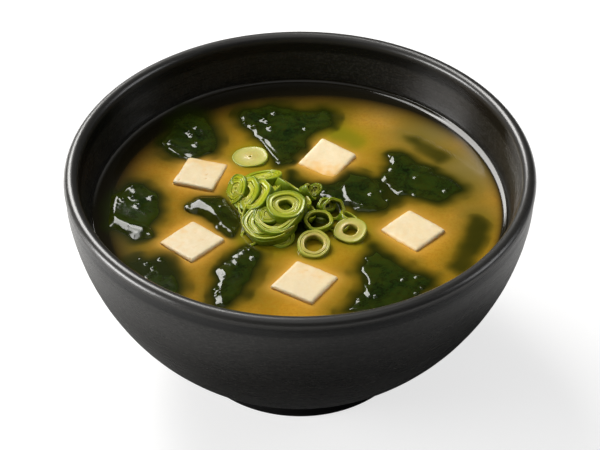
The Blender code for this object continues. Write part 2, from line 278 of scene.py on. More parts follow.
# %% Mesh helpers
def new_piece(name, points, faces, material, slot, replaced=(), **values):
    """A smooth-shaded piece on the frame's one body, with a value for each point under each given name."""
    mesh = bpy.data.meshes.new(name)
    mesh.from_pydata(np.asarray(points, float).tolist(), [], [list(map(int, f)) for f in faces])
    mesh.update()
    mesh.shade_smooth()
    mesh.materials.append(material)
    for key, numbers in values.items():
        layer = mesh.attributes.new(key, "FLOAT", "POINT")
        layer.data.foreach_set("value", np.asarray(numbers, np.float32))
    obj = bpy.data.objects.new(name, mesh)
    bpy.context.scene.collection.objects.link(obj)
    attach(obj, "root")
    if replaced:
        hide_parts(*replaced)
    triangles = sum(len(f) - 2 for f in faces)
    print(f"{name}: {len(points)} points, {triangles} triangles")
    return obj


def wave(points, size, seed):
    """Smooth noise from -1 to 1 at each point, with features of a size in millimetres."""
    shift = Vector((seed * 7.3, seed * 3.1, seed * 5.7))
    return np.array([noise.noise(Vector(p) / (size * MM) + shift) for p in np.asarray(points).tolist()])


def on_level(flat, height=0.0):
    """2-D points as 3-D points at a height."""
    return np.column_stack([flat, np.broadcast_to(height, len(flat))])


def joined(bodies):
    """The points and faces of several bodies as those of one."""
    points, faces, start = [], [], 0
    for body, polygons in bodies:
        points.append(body)
        faces += [[i + start for i in polygon] for polygon in polygons]
        start += len(body)
    return np.vstack(points), faces


def turned_grid(profile, turns, shaped):
    """Points and faces of a profile of (radius, height) turned round Z, its ends on the axis.
    The function `shaped` may move the points."""
    radii, heights = np.array(profile).T
    angles = np.linspace(0, 2 * math.pi, turns, endpoint=False)
    ring_r, ring_z = np.repeat(radii[1:-1], turns), np.repeat(heights[1:-1], turns)
    angle = np.tile(angles, len(radii) - 2)
    points = np.stack([ring_r * np.cos(angle), ring_r * np.sin(angle), ring_z], 1)
    points = shaped(points, ring_r, angle)
    rows = np.arange(len(radii) - 2)[:-1, None] * turns
    columns = np.arange(turns)[None]
    after = (columns + 1) % turns
    faces = np.stack([rows + columns, rows + turns + columns, rows + turns + after, rows + after], -1)
    faces = faces.reshape(-1, 4).tolist()
    first, last = len(points), len(points) + 1
    points = np.vstack([points, [(0, 0, heights[0]), (0, 0, heights[-1])]])
    end = (len(radii) - 3) * turns
    for i in range(turns):
        j = (i + 1) % turns
        faces.append([first, i, j])
        faces.append([last, end + j, end + i])
    return points, faces


# %% [markdown]
# ## The bowl
# A thrown stoneware bowl with a dark, almost dry glaze: a quarter-ellipse body on a low foot, and a rounded
# lip. A Screw modifier could turn it, but the points are worked out here, so that the wall can wander a
# little as a hand-thrown one does, with faint finger rings and a shallow hollow under the lip.

# %% The bowl's profile
LIP_RADIUS = 1.8 * MM
LIP_HEIGHT = BOWL_HEIGHT - LIP_RADIUS
BODY_DEPTH = 63.9 * MM
LIP_WALL, WALL, WALL_BLEND = 3.6 * MM, 5.2 * MM, math.radians(12)
FLOOR_HEIGHT, FLOOR_FULLNESS = 9.5 * MM, 0.7
FOOT_RADIUS, FOOT_NECK, FOOT_HEIGHT, FOOT_WIDTH = 31.4 * MM, 31.1 * MM, 4.3 * MM, 4.2 * MM
RECESS_DEPTH = 3.2 * MM
UNDERCUT_DEPTH = 0.2 * MM


def wall_radius(height):
    """The radius of the inside of the wall at a height, below the lip."""
    drop = np.clip((LIP_HEIGHT - np.asarray(height)) / (LIP_HEIGHT - FLOOR_HEIGHT), 0, 1)
    angle = np.arcsin(drop)
    thickness = LIP_WALL + (WALL - LIP_WALL) * np.minimum(angle / WALL_BLEND, 1)
    return (RIM_RADIUS - thickness) * np.cos(angle) ** FLOOR_FULLNESS


def rounded(corner, before, after, radius):
    """An arc of five points that rounds the corner between two straight lines of a profile."""
    corner, before, after = Vector(corner), Vector(before), Vector(after)
    start = corner + (before - corner).normalized() * radius
    end = corner + (after - corner).normalized() * radius
    return [tuple(start * (1 - t) ** 2 + corner * 2 * t * (1 - t) + end * t ** 2)
            for t in np.linspace(0, 1, 5)]


def undercut(drop):
    """How far the wall draws in at a drop below the lip: quickly at first, then slowly back out."""
    below, deepest = drop / MM, 1.9
    fade = 1.4 if below < deepest else 2.6
    return UNDERCUT_DEPTH * np.clip(below / 0.7, 0, 1) * math.exp(-((below - deepest) / fade) ** 2)


print(f"inside radius at the broth's level {float(wall_radius(LEVEL)) / MM:.1f} mm")

# %% The bowl's whole profile
def bowl_profile():
    """From the middle of the floor up the inside, over the lip, down the outside and round the foot."""
    drops = np.sin(np.linspace(math.pi / 2, 0, 64))[1:]
    heights = LIP_HEIGHT - (LIP_HEIGHT - FLOOR_HEIGHT) * drops
    inside = [(0, FLOOR_HEIGHT)] + [(float(wall_radius(h)), float(h)) for h in heights]
    middle = RIM_RADIUS - LIP_RADIUS
    lip = [(middle - LIP_RADIUS * math.cos(a), LIP_HEIGHT + LIP_RADIUS * math.sin(a))
           for a in np.linspace(0, math.pi, 17)[1:-1]]
    foot_angle = math.acos((FOOT_RADIUS + 0.5 * MM) / RIM_RADIUS)
    outside = [(RIM_RADIUS * math.cos(a), LIP_HEIGHT - BODY_DEPTH * math.sin(a))
               for a in np.linspace(0, foot_angle, 84)]
    hollow = [(r - undercut(LIP_HEIGHT - z), z) for r, z in outside]
    inner = FOOT_RADIUS - FOOT_WIDTH
    neck = [(FOOT_NECK, FOOT_HEIGHT), (FOOT_NECK + 0.1 * MM, 3.2 * MM), (FOOT_NECK + 0.2 * MM, 2 * MM)]
    foot = rounded((FOOT_RADIUS, 0), (FOOT_RADIUS, 4 * MM), (inner, 0), 0.7 * MM)
    foot += rounded((inner, 0), (FOOT_RADIUS, 0), (inner, 4 * MM), 0.7 * MM)
    foot += rounded((inner, RECESS_DEPTH), (inner, 0), (0, RECESS_DEPTH), 1.2 * MM)
    flat = [(inner * share, RECESS_DEPTH) for share in (0.75, 0.5, 0.25, 0)]
    return inside + lip + hollow + neck + foot + flat


def thrown(points, radii, angle):
    """Moves the turned points a little, as a potter's hands do: a wandering wall and faint rings."""
    height = points[:, 2]
    turn = np.stack([np.cos(angle), np.sin(angle), np.zeros_like(angle)], 1)
    drift = 0.10 * np.sin(2 * angle + 0.7) + 0.07 * np.sin(3 * angle + height / MM * 0.05)
    ring_pitch = 1.7
    climb = height / MM + angle / (2 * math.pi) * ring_pitch
    lines = np.stack([climb / ring_pitch, np.zeros_like(climb), 0.4 * np.cos(angle)], 1)
    rings = np.array([noise.noise(Vector(p)) for p in lines.tolist()])
    share = np.clip(radii / (12 * MM), 0, 1) * np.clip((BOWL_HEIGHT - height) / (3 * MM), 0.15, 1)
    low = np.clip(height / (5 * MM), 0, 1)
    return points + turn * ((drift * low + 0.035 * rings * low) * share * MM)[:, None]


print("bowl profile:", len(bowl_profile()), "points")

# %% [markdown]
# The glaze is nearly black and a little brown, with a fine tooth, and faint lines run round it where the
# slip was brushed on. Its gloss is a clear coat whose weight changes with height: most on top of the lip,
# where hands and cloths polish it, less on the body, and next to none in the shaded hollow under the lip.
# The top of the lip is painted a little lighter, a painted highlight. The hollow under the lip is painted
# nearly black, a painted shade, and so is the foot, which is rougher too.

# %% The glaze
# Painted shade: a near-black colour for the hollow under the lip and for the foot.
PAINTED_SHADE_CLAY = (0.003, 0.003, 0.003)


def stoneware():
    made, tree, shader = finish_material("stoneware", IOR=1.27, Coat_IOR=1.5, Coat_Roughness=0.33)
    patches = effect(tree, MOTTLE, Size=9.0, Warp=0.8, Softness=0.25)
    specks = effect(tree, MOTTLE, Size=0.55, Warp=0.2, Softness=0.12)
    place = node(tree, "TexCoord").outputs["Object"]
    stretch = node(tree, "Mapping", vector_type="POINT", Scale=(1, 1, 14))
    tree.links.new(place, stretch.inputs["Vector"])
    brushed = node(tree, "TexNoise", Scale=120.0, Detail=4.0, Roughness=0.65)
    tree.links.new(stretch.outputs["Vector"], brushed.inputs["Vector"])
    base = mix_colour(tree, patches, (0.0060, 0.0057, 0.0050), (0.0095, 0.0090, 0.0080))
    flecked = mix_colour(tree, spread(tree, specks, 0.5, 1.0, 0, 0.6), base, (0.028, 0.027, 0.024))
    lines = spread(tree, brushed.outputs["Fac"], 0.55, 0.8, 0, 0.1)
    lined = mix_colour(tree, lines, flecked, (0.022, 0.021, 0.019))
    axes = node(tree, "SeparateXYZ")
    tree.links.new(place, axes.inputs[0])
    height = axes.outputs["Z"]
    # Painted shade: the foot and the hollow under the lip are painted nearly black, as if in shadow.
    foot = spread(tree, height, FOOT_HEIGHT - 0.7 * MM, FOOT_HEIGHT + 0.3 * MM, 1, 0)
    under_lip = spread(tree, height, BOWL_HEIGHT - 5.6 * MM, BOWL_HEIGHT - 4.4 * MM)
    lip = spread(tree, height, BOWL_HEIGHT - 2.6 * MM, BOWL_HEIGHT - 1.6 * MM)
    under_lip_shaded = mix_colour(tree, under_lip, lined, PAINTED_SHADE_CLAY)
    # Painted highlight: the top of the lip is painted lighter.
    lip_highlight = mix_colour(tree, lip, under_lip_shaded, (0.021, 0.020, 0.018))
    tree.links.new(mix_colour(tree, foot, lip_highlight, PAINTED_SHADE_CLAY), shader.inputs["Base Color"])
    polished = spread(tree, height, BOWL_HEIGHT - 1.8 * MM, BOWL_HEIGHT - 0.9 * MM, 0, 0.8)
    faint = spread(tree, height, BOWL_HEIGHT - 5.4 * MM, BOWL_HEIGHT - 4.4 * MM, 0.12, 0)
    tree.links.new(either(tree, polished, faint), shader.inputs["Coat Weight"])
    rough = spread(tree, brushed.outputs["Fac"], 0.3, 0.7, 0.27, 0.285)
    tree.links.new(either(tree, rough, spread(tree, foot, 0, 1, 0, 0.9)), shader.inputs["Roughness"])
    bump(tree, shader, effect(tree, GRAIN, Size=0.7, Pits=0.35), 0.35, 0.12)
    return made


TURNS = 288
points, faces = turned_grid(bowl_profile(), TURNS, thrown)
new_piece("stoneware_bowl", points, faces, stoneware(), "stoneware", ["bowl"])

# %% [markdown]
# ## The table
# Plain pale board, large enough to fill every view. It glows a little for the camera alone, a painted light
# that keeps its shadow pale. What the bowl mirrors is painted darker near the foot, a painted contact shadow,
# because a bright board there would light the bowl from below.

# %% The table
def table_finish():
    made, tree, shader = finish_material("pale_board", Roughness=0.6, Emission_Color=(1, 1, 1, 1))
    shade = effect(tree, MOTTLE, Size=60.0, Warp=0.3, Softness=0.4)
    seen = node(tree, "LightPath").outputs["Is Camera Ray"]
    place = node(tree, "VectorMath", operation="LENGTH")
    tree.links.new(node(tree, "TexCoord").outputs["Object"], place.inputs[0])
    # Painted contact shadow: for rays other than the camera's, the board is painted dark near the bowl.
    near = spread(tree, place.outputs["Value"], RIM_RADIUS, RIM_RADIUS + 52 * MM, 1, 0)
    pale = mix_colour(tree, shade, (0.92, 0.92, 0.915), (0.95, 0.95, 0.945))
    plain = mix_colour(tree, near, pale, (0.10, 0.10, 0.10))
    tree.links.new(mix_colour(tree, seen, plain, (0.34, 0.34, 0.338)), shader.inputs["Base Color"])
    # Painted light: the board glows for camera rays alone, which keeps its shadow pale.
    tree.links.new(spread(tree, seen, 0, 1, 0, 0.70), shader.inputs["Emission Strength"])
    return made


TABLE_HALF = 3.0
corners = [(x * TABLE_HALF, y * TABLE_HALF, 0) for x, y in ((-1, -1), (1, -1), (1, 1), (-1, 1))]
table_mesh = bpy.data.meshes.new("table")
table_mesh.from_pydata(corners, [], [(0, 1, 2, 3)])
table_mesh.materials.append(table_finish())
table = bpy.data.objects.new("table", table_mesh)
bpy.context.scene.collection.objects.link(table)
print("table", 2 * TABLE_HALF, "m wide")

# %% [markdown]
# ## Tofu
# Silken tofu cut in cubes: cut faces are flat but never quite, corners are soft and a little chipped, and
# there are small pores. Each cube starts from its CAD solid, remeshed finely by the Remesh modifier, then
# its points move a little along their normals. One cube was cut askew. Broth soaks a little into the cut
# edges near its level, so each point also carries how soaked it is.

# %% Even meshes from the CAD
def remeshed(source, voxel):
    """Points, normals and faces of a CAD node, rebuilt as an even mesh."""
    copy = bpy.data.objects.new("copy", source.data.copy())
    bpy.context.scene.collection.objects.link(copy)
    even = copy.modifiers.new("even", "REMESH")
    even.mode, even.voxel_size = "VOXEL", voxel
    soft = copy.modifiers.new("soft", "SMOOTH")
    soft.factor, soft.iterations = 0.5, 4
    graph = bpy.context.evaluated_depsgraph_get()
    mesh = copy.evaluated_get(graph).to_mesh()
    points = np.array([v.co for v in mesh.vertices])
    normals = np.array([v.normal for v in mesh.vertices])
    faces = [list(p.vertices) for p in mesh.polygons]
    copy.evaluated_get(graph).to_mesh_clear()
    bpy.data.objects.remove(copy, do_unlink=True)
    return points, normals, faces


TOFU_VOXEL = 0.4 * MM
print("tofu is remeshed every", round(TOFU_VOXEL / MM, 2), "mm")

# %% [markdown]
# Tofu is cream coloured and lets a little light through, so its finish has some subsurface scattering. A
# painted texture could be wrapped round each cube, but a blotchy mask and a fine one are enough for such a
# plain food, and they fit every cube. Broth stains it where it is soaked, and its pores are darker.

# %% The tofu's finish
def tofu_finish():
    made, tree, shader = finish_material("tofu", IOR=1.38, Subsurface_Weight=0.25, Subsurface_Scale=0.004)
    shader.inputs["Subsurface Radius"].default_value = (1.0, 0.7, 0.4)
    blotch = effect(tree, MOTTLE, Size=4.0, Warp=0.5, Softness=0.3)
    fine = effect(tree, MOTTLE, Size=0.9, Warp=0.2, Softness=0.25)
    base = mix_colour(tree, blotch, (0.755, 0.615, 0.375), (0.79, 0.66, 0.43))
    curd = mix_colour(tree, spread(tree, fine, 0, 1, 0, 0.35), base, (0.74, 0.57, 0.30))
    soaked = mix_colour(tree, attribute(tree, "soaked"), curd, (0.78, 0.42, 0.07))
    pored = mix_colour(tree, attribute(tree, "pore"), soaked, (0.62, 0.36, 0.10))
    tree.links.new(pored, shader.inputs["Base Color"])
    tree.links.new(spread(tree, fine, 0, 1, 0.34, 0.5), shader.inputs["Roughness"])
    bump(tree, shader, effect(tree, GRAIN, Size=0.8, Pits=0.3), 0.25, 0.08)
    return made


TOFU_FINISH = tofu_finish()

# %% The five cubes
SOAKED_HEIGHT = 0.75 * MM
ASKEW = {"tofu_back_left": (0.27, 0.08)}  # how far a cube's cuts slant: x by y, and y by x
tofu_shells = []
for number, name in enumerate(sorted(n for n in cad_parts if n.startswith("tofu"))):
    points, normals, faces = remeshed(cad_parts[name], TOFU_VOXEL)
    holes, where = wave(points, 0.9, number + 3) - 0.55, wave(points, 4.0, number + 8) + 0.3
    pores = np.clip(holes, 0, 1) * np.clip(where, 0, 1)
    slant, rise = ASKEW.get(name, (0, 0))
    x, y, _ = (points - points.mean(0)).T
    points = points + np.column_stack([slant * y, -rise * x, 0 * x])
    move = 0.10 * wave(points, 5.0, number) + 0.05 * wave(points, 1.6, number + 20) - 0.9 * pores
    points = points + normals * (move * MM)[:, None]
    above = (points[:, 2] - LEVEL) / SOAKED_HEIGHT
    soaked = np.clip(1 - above + 0.35 * wave(points, 1.5, number + 5), 0, 1) ** 1.5
    new_piece(name + "_cube", points, faces, TOFU_FINISH, "tofu", [name],
              soaked=soaked, pore=np.clip(6 * pores, 0, 1))
    tofu_shells.append((points, faces))

# %% [markdown]
# ## Wakame
# Soaked seaweed is a thin, slippery, crinkled sheet. Most of each leaf floats level with the broth, a few
# creases stand out of it and shine, and the margins sink away. Cloth simulation could crease it, but the
# creases have to lie where the leaf is seen to shine, so each leaf is cut from an even triangle mesh
# and its height is a sum of waves, facets and small blisters.

# %% A leaf's outline, read from its CAD solid
def outline_of(name):
    """The corners of a CAD leaf's outline: the border of the faces that look up, in order."""
    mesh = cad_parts[name].data
    key = [tuple(round(c / (0.01 * MM)) for c in v.co) for v in mesh.vertices]
    place = {key[v.index]: Vector(v.co) for v in mesh.vertices}
    count = {}
    for face in mesh.polygons:
        if face.normal.z < 0.5:
            continue
        ring = [key[i] for i in face.vertices]
        for a, b in zip(ring, ring[1:] + ring[:1]):
            if a != b:
                count[(a, b)] = count.get((a, b), 0) + 1
    follow = {a: b for (a, b) in count if (b, a) not in count}
    start = min(follow)
    loop, at = [start], follow[start]
    while at != start:
        loop.append(at)
        at = follow[at]
    return [place[k].xy for k in loop]


print("corners of the back leaf:", len(outline_of("wakame_back")))

# %% [markdown]
# The corners become a smooth closed curve first, and then a torn one. A sheet of even triangles fills it:
# points on a hexagonal grid that lie inside, joined by Blender's own Delaunay triangulation.

# %% Margins
def smooth_loop(corners, spacing):
    """Evenly spaced points on a closed Catmull-Rom curve through the corners."""
    dense = []
    for i in range(len(corners)):
        before, start, end, after = (corners[(i + k) % len(corners)] for k in (-1, 0, 1, 2))
        for t in np.linspace(0, 1, 8, endpoint=False):
            pull = (end - before) * t + (2 * before - 5 * start + 4 * end - after) * t * t
            turn = (3 * start - before - 3 * end + after) * t * t * t
            dense.append(start + (pull + turn) / 2)
    dense = np.array(dense)
    ahead = np.roll(dense, -1, 0)
    walked = np.concatenate([[0], np.cumsum(np.linalg.norm(ahead - dense, axis=1))])
    at = np.linspace(0, walked[-1], max(int(walked[-1] / spacing), 12), endpoint=False)
    closed = np.vstack([dense, dense[:1]])
    return np.stack([np.interp(at, walked, closed[:, k]) for k in (0, 1)], 1)


def ragged(loop, depth, seed, grow):
    """The loop grown a little, with its points moved in and out, as a torn margin runs."""
    ahead, behind = np.roll(loop, -1, 0), np.roll(loop, 1, 0)
    along = ahead - behind
    outward = np.stack([along[:, 1], -along[:, 0]], 1)
    outward /= np.linalg.norm(outward, axis=1)[:, None] + 1e-12
    flat = on_level(loop)
    move = 0.65 * wave(flat, 3.2, seed) + 0.35 * wave(flat, 1.2, seed + 4)
    area = (loop[:, 0] * ahead[:, 1] - ahead[:, 0] * loop[:, 1]).sum()
    return loop + outward * ((move * depth + grow * math.copysign(1, area)) * MM)[:, None]


back_margin = smooth_loop(outline_of("wakame_back"), 0.45 * MM)
print("points on the back leaf's margin:", len(back_margin))

# %% A sheet cut to a margin
def inside_loop(points, loop):
    """Which points lie inside a closed loop, by counting crossings."""
    x, y = points[:, 0][:, None], points[:, 1][:, None]
    ax, ay = loop[:, 0][None], loop[:, 1][None]
    bx, by = np.roll(loop, -1, 0).T
    crosses = ((ay > y) != (by > y)) & (x < (bx - ax) * (y - ay) / (by - ay + 1e-15) + ax)
    return crosses.sum(1) % 2 == 1


def distance_to(points, loop):
    """How far each point is from the nearest point of a loop."""
    nearest, batch = np.full(len(points), 1e9), 4000
    for start in range(0, len(points), batch):
        some = points[start:start + batch]
        nearest[start:start + batch] = np.sqrt(((some[:, None] - loop[None]) ** 2).sum(-1)).min(1)
    return nearest


def cut_sheet(loop, spacing):
    """2-D points and triangles that fill a loop evenly."""
    low, high = loop.min(0), loop.max(0)
    rows = np.arange(low[1], high[1], spacing * 0.866)
    grid = np.array([(x + (spacing / 2 if k % 2 else 0), y) for k, y in enumerate(rows)
                     for x in np.arange(low[0], high[0], spacing)])
    grid = grid[inside_loop(grid, loop)]
    grid = grid[distance_to(grid, loop) > 0.6 * spacing]
    everything = [Vector(p) for p in loop.tolist() + grid.tolist()]
    rim = [(i, (i + 1) % len(loop)) for i in range(len(loop))]
    points, _, faces, *_ = delaunay_2d_cdt(everything, rim, [], 1, 1e-7)
    return np.array([tuple(p) for p in points]), [list(f) for f in faces]


print("triangles in a coarse sheet for the back leaf:", len(cut_sheet(back_margin, 1 * MM)[1]))

# %% [markdown]
# The height of a leaf. Broad waves and sharp creases come from noise. A facet is a strip along a line that
# slopes one way, and a blister is a small round swelling, or a hollow where it is negative. Both are listed
# for each leaf in millimetres from the middle of its node, because they catch the light. The margin droops
# into the broth.

# %% A facet of a leaf
def heading(degrees):
    """The unit vector that points along a heading, anticlockwise from the bowl's right."""
    return np.array([math.cos(math.radians(degrees)), math.sin(math.radians(degrees))])


def away_from_line(flat, line):
    """Each point's offset from the nearest point of a line through corners, and its distance from it."""
    offset, best = np.zeros_like(flat), np.full(len(flat), 1e9)
    for a, b in zip(line, line[1:]):
        along = np.subtract(b, a)
        t = np.clip(((flat - a) @ along) / (along @ along), 0, 1)
        away = flat - a - t[:, None] * along
        far = np.linalg.norm(away, axis=1)
        nearer = far < best
        offset[nearer], best = away[nearer], np.minimum(best, far)
    return offset, best


def facet(flat, line, wide, toward, fall, tear=0.45):
    """A strip along a line that slopes down towards a heading, so that it shines as one flat face does."""
    offset, best = away_from_line(flat, line)
    torn = 1 + tear * wave(on_level(flat) * MM, 1.8, 61)
    return -fall * (offset @ heading(toward)) * np.exp(-(best / wide * torn) ** 3)


def middle_of(name):
    """The middle of a node's box, seen from above, in millimetres."""
    low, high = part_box(name)
    return np.array([low[0] + high[0], low[1] + high[1]]) / 2 / MM


print("middle of the back leaf", middle_of("wakame_back").round(1).tolist())

# %% A leaf's height
FACET_RISE = 0.35  # how far a facet's middle stands above its leaf, in millimetres


def round_spot(flat, x, y, wide):
    """A field that is 1 at a place and fades round it."""
    return np.exp(-((flat - (x, y)) ** 2).sum(1) / wide ** 2)


def leaf_height(flat, edge, leaf, seed, at):
    """Height above the broth's level of points, all in millimetres; facets and blisters count from `at`."""
    spot, grain, blisters = flat - at, leaf.get("grain", 30), leaf.get("blisters", ())
    points = on_level(flat) * MM
    lines = on_level(np.column_stack([flat @ heading(grain) * 0.75, flat @ heading(grain + 90)])) * MM
    crinkled = np.zeros(len(flat))
    for x, y, *_ in blisters:
        crinkled = np.maximum(crinkled, round_spot(spot, x, y, 2.2))
    crinkled = 0.3 + 0.7 * crinkled
    height = leaf["lift"] + leaf["ruffle"] * wave(points, 6.0, seed + 1)
    height += leaf.get("crease", 0.10) * crinkled * (0.6 - 2 * np.abs(wave(lines, 2.6, seed)))
    height += leaf.get("fine", 0.05) * crinkled * (1 - 2 * np.abs(wave(lines, 1.1, seed + 2)))
    toward, drop = leaf.get("dip", (0, 0))
    reach = (flat - flat.mean(0)) @ heading(toward)
    height -= drop * reach / np.abs(reach).max()
    for line, wide, *slope in leaf.get("facets", ()):
        smooth = np.exp(-(away_from_line(spot, line)[1] / (1.2 * wide)) ** 4)
        flattened = (1 - smooth) * height + smooth * (leaf["lift"] + FACET_RISE)
        height = flattened + facet(spot, line, wide, *slope)
    for x, y, tall, wide in blisters:
        height += tall * round_spot(spot, x, y, wide)
    sunk = np.clip(1 - edge / leaf.get("margin", 4.4), 0, 1)
    uneven = np.clip(0.9 + 0.9 * wave(points, 4.5, seed + 6), 0.25, 1.8)
    return height - leaf.get("droop", 2.1) * uneven * sunk ** 1.5


print("a facet's middle stands", FACET_RISE, "mm above its leaf")

# %% A whole leaf
THIN_LEAF, THICKENS = 0.16, 0.24  # thickness at the margin, and how much it gains within 1.2 mm of it


def solid_sheet(flat, faces, top, thickness):
    """A closed body from a flat sheet of faces, the heights of its upper side, and its thickness."""
    count = len(flat)
    body = faces + [[i + count for i in reversed(f)] for f in faces]
    directed = {(a, b) for f in faces for a, b in zip(f, f[1:] + f[:1])}
    body += [[b, a, a + count, b + count] for a, b in directed if (b, a) not in directed]
    return np.vstack([on_level(flat, top), on_level(flat, top - thickness)]), body


def faces_up(flat, faces):
    """The triangles turned so that their upper sides face up."""
    a, b, c = (flat[[f[k] for f in faces]] for k in range(3))
    across, along = b - a, c - a
    area = (across[:, 0] * along[:, 1] - across[:, 1] * along[:, 0]).sum()
    return [f[::-1] for f in faces] if area < 0 else faces


def make_leaf(loop, leaf, seed, spacing=0.38, at=(0, 0)):
    """Points and faces of a leaf, each point's distance from the margin, and its upper side."""
    loop = ragged(loop, leaf.get("ragged", 1.1), seed, leaf.get("skirt", 2.8))
    flat, faces = cut_sheet(loop, spacing * MM)
    faces = faces_up(flat, faces)
    edge = distance_to(flat, loop) / MM
    top = LEVEL + leaf_height(flat / MM, edge, leaf, seed, at) * MM
    thickness = (THIN_LEAF + THICKENS * np.clip(edge / 1.2, 0, 1)) * MM
    points, body = solid_sheet(flat, faces, top, thickness)
    return points, body, np.tile(edge, 2), (on_level(flat, top), faces)


print("a leaf is up to", THIN_LEAF + THICKENS, "mm thick")

# %% [markdown]
# The leaf's colour runs from blackish green to olive. At the thin margin it is painted browner, its own
# colour, and lighter, a painted light shining through the thin sheet. It is coated with broth, so a clear
# coat gives sharp glints over a softer sheen.

# %% The leaf's finish
DEEP_LEAF, OLIVE_LEAF = (0.0025, 0.0055, 0.0006), (0.024, 0.033, 0.0018)
VEIN_LEAF, MARGIN_LEAF_AND_GLOW = (0.014, 0.038, 0.004), (0.055, 0.052, 0.002)


def wakame_finish():
    made, tree, shader = finish_material(
        "wakame", Specular_IOR_Level=0.0, Coat_Weight=1.0, Coat_Roughness=0.11, Coat_IOR=1.36)
    patches = effect(tree, MOTTLE, Size=5.0, Warp=1.0, Softness=0.22)
    veins = effect(tree, MOTTLE, Size=1.3, Warp=1.6, Softness=0.18)
    base = mix_colour(tree, patches, DEEP_LEAF, OLIVE_LEAF)
    veined = mix_colour(tree, spread(tree, veins, 0, 1, 0, 0.5), base, VEIN_LEAF)
    # Partly painted light: the thin margin is painted browner, its own colour, and lighter, as light shining
    # through it.
    thin = mix_colour(tree, attribute(tree, "thin"), veined, MARGIN_LEAF_AND_GLOW)
    tree.links.new(thin, shader.inputs["Base Color"])
    tree.links.new(spread(tree, veins, 0, 1, 0.35, 0.55), shader.inputs["Roughness"])
    bump(tree, shader, effect(tree, GRAIN, Size=1.2, Pits=0.2), 0.2, 0.15)
    return made


WAKAME_FINISH = wakame_finish()

# %% [markdown]
# Each leaf is listed by what a cook would see: how high it floats, which way its creases run and how deep
# they are, how far its skirt spreads under the broth, and where its facets and blisters lie.

# %% The nine leaves
LEAVES = {
    # lengths are in millimetres; grain, and where the dip is, in degrees
    # a facet: its line, width, heading in degrees, slope, and how torn it is; a blister: x, y, height, width
    "wakame_back_left": dict(lift=0.15, ruffle=0.2, grain=100, dip=(60, 0.2),
        facets=[([(-6.4, -7.5), (-3.9, -10.1), (-1.4, -12.1)], 1.0, 200, 0.31)],
        blisters=[(-0.9, 0.3, 0.45, 0.6), (0.1, -1.2, 0.45, 0.6), (1.1, 2.3, 0.35, 0.6),
                  (1.6, -5.2, 0.6, 0.9), (-5.9, -4.2, 0.4, 0.7)]),
    "wakame_back": dict(lift=0.2, ruffle=0.2, grain=120, dip=(70, 0.2),
        facets=[([(-7.1, -3.7), (-4.8, -8.2), (-2.6, -12.2)], 0.6, 200, 0.31)],
        blisters=[(-3.3, 9, 0.5, 0.7), (-6.3, 5.8, 0.5, 0.7), (-5.3, 4.8, 0.45, 0.6), (-8.8, 2.8, 0.6, 0.9),
                  (-4.3, 2.1, 0.5, 0.8), (-11.8, 4, 0.5, 0.6), (5.2, 1.8, 0.35, 0.6)]),
    "wakame_left": dict(lift=0.25, ruffle=0.12, skirt=2.2, crease=0.07, fine=0.04, grain=-40, dip=(0, 0.2),
        facets=[([(-6.4, -4.2), (-1.4, -7.4), (3.9, -9.4)], 1.95, 200, 0.30, 0.12)],
        blisters=[(-1.4, 9.2, 0.45, 0.6), (-0.9, 4.9, 0.5, 0.7), (-3.4, 3.9, 0.5, 0.6), (0.9, 1.7, 0.6, 0.8),
                  (4.1, 5.2, 0.5, 0.6), (-7.0, 5.0, 0.35, 2.2)]),
    "wakame_curl": dict(lift=0.75, ruffle=0.15, skirt=1.2, grain=-45, dip=(20, 0.3), margin=2.2, droop=1.4,
        facets=[([(-4.4, 4.4), (-2, 2.2), (-0.6, -0.6)], 2.2, 200, 0.31, 0.15)],
        blisters=[(-0.2, 4.6, 0.35, 0.7), (1.8, 3.6, 0.3, 0.6), (5.6, -3.4, -0.4, 1.9),
                  (4.9, -8.4, -0.4, 1.9)]),
    "wakame_front_left": dict(lift=0.02, ruffle=0.15, grain=60, fine=0.03, crease=0.06,
        blisters=[(-4.3, 7.3, 0.4, 0.5), (0.7, 7.3, 0.4, 0.5), (-2.3, 5.3, 0.45, 0.6),
                  (-0.8, 3.8, 0.45, 0.5)]),
    "wakame_front": dict(lift=0.25, ruffle=0.2, skirt=1.8, grain=70, dip=(-10, 0.3),
        facets=[([(-4.3, 2.9), (-3.5, 0.8)], 0.6, 200, 0.31, 0.8),
                ([(-1.5, 6.8), (-0.5, 5.2)], 0.4, 200, 0.31, 0.8)],
        blisters=[(-5.9, -4.1, 0.5, 0.8), (-4.4, -5.6, 0.4, 0.6), (1.1, 9.7, 0.45, 0.6),
                  (3.6, 7.4, 0.45, 0.7), (5.6, 12.4, 0.4, 0.5), (2.5, 10.4, 0.4, 0.5)]),
    "wakame_front_right": dict(lift=0.1, ruffle=0.15, grain=-45, crease=0.08, skirt=1.0,
        facets=[([(-6.3, -0.1), (-5.5, -3.6), (-4.5, -6.4)], 0.5, 200, 0.31)],
        blisters=[(-5, 7.4, 0.4, 0.5), (-7.2, -7.6, 0.45, 0.6), (-3, -6.6, 0.4, 0.5), (4, -0.6, 0.4, 0.6),
                  (7.5, 0.4, 0.35, 0.6), (7, -5.6, 0.35, 0.5), (8.5, -3.6, 0.3, 0.5)]),
    "wakame_right": dict(lift=0.2, ruffle=0.25, grain=-40, dip=(-70, 0.25),
        facets=[([(-11.2, 0.7), (-10.7, -1.5)], 1.2, 200, 0.31)],
        blisters=[(-7.9, 7.6, 0.35, 0.6), (-10.1, -5.4, 0.4, 0.6), (-5.9, -6.9, 0.45, 0.6),
                  (-2.9, -8.4, 0.4, 0.5), (5.4, -6.4, 0.4, 0.7), (-1.9, -0.9, 0.25, 0.8)]),
    "wakame_centre": dict(lift=0.3, ruffle=0.25, grain=-30, dip=(80, 0.3),
        facets=[([(-2, 2), (-1.7, -2), (-0.4, -4.8), (2.3, -5.5)], 0.65, 200, 0.31)],
        blisters=[(5, -1, 0.4, 0.7)]),
}
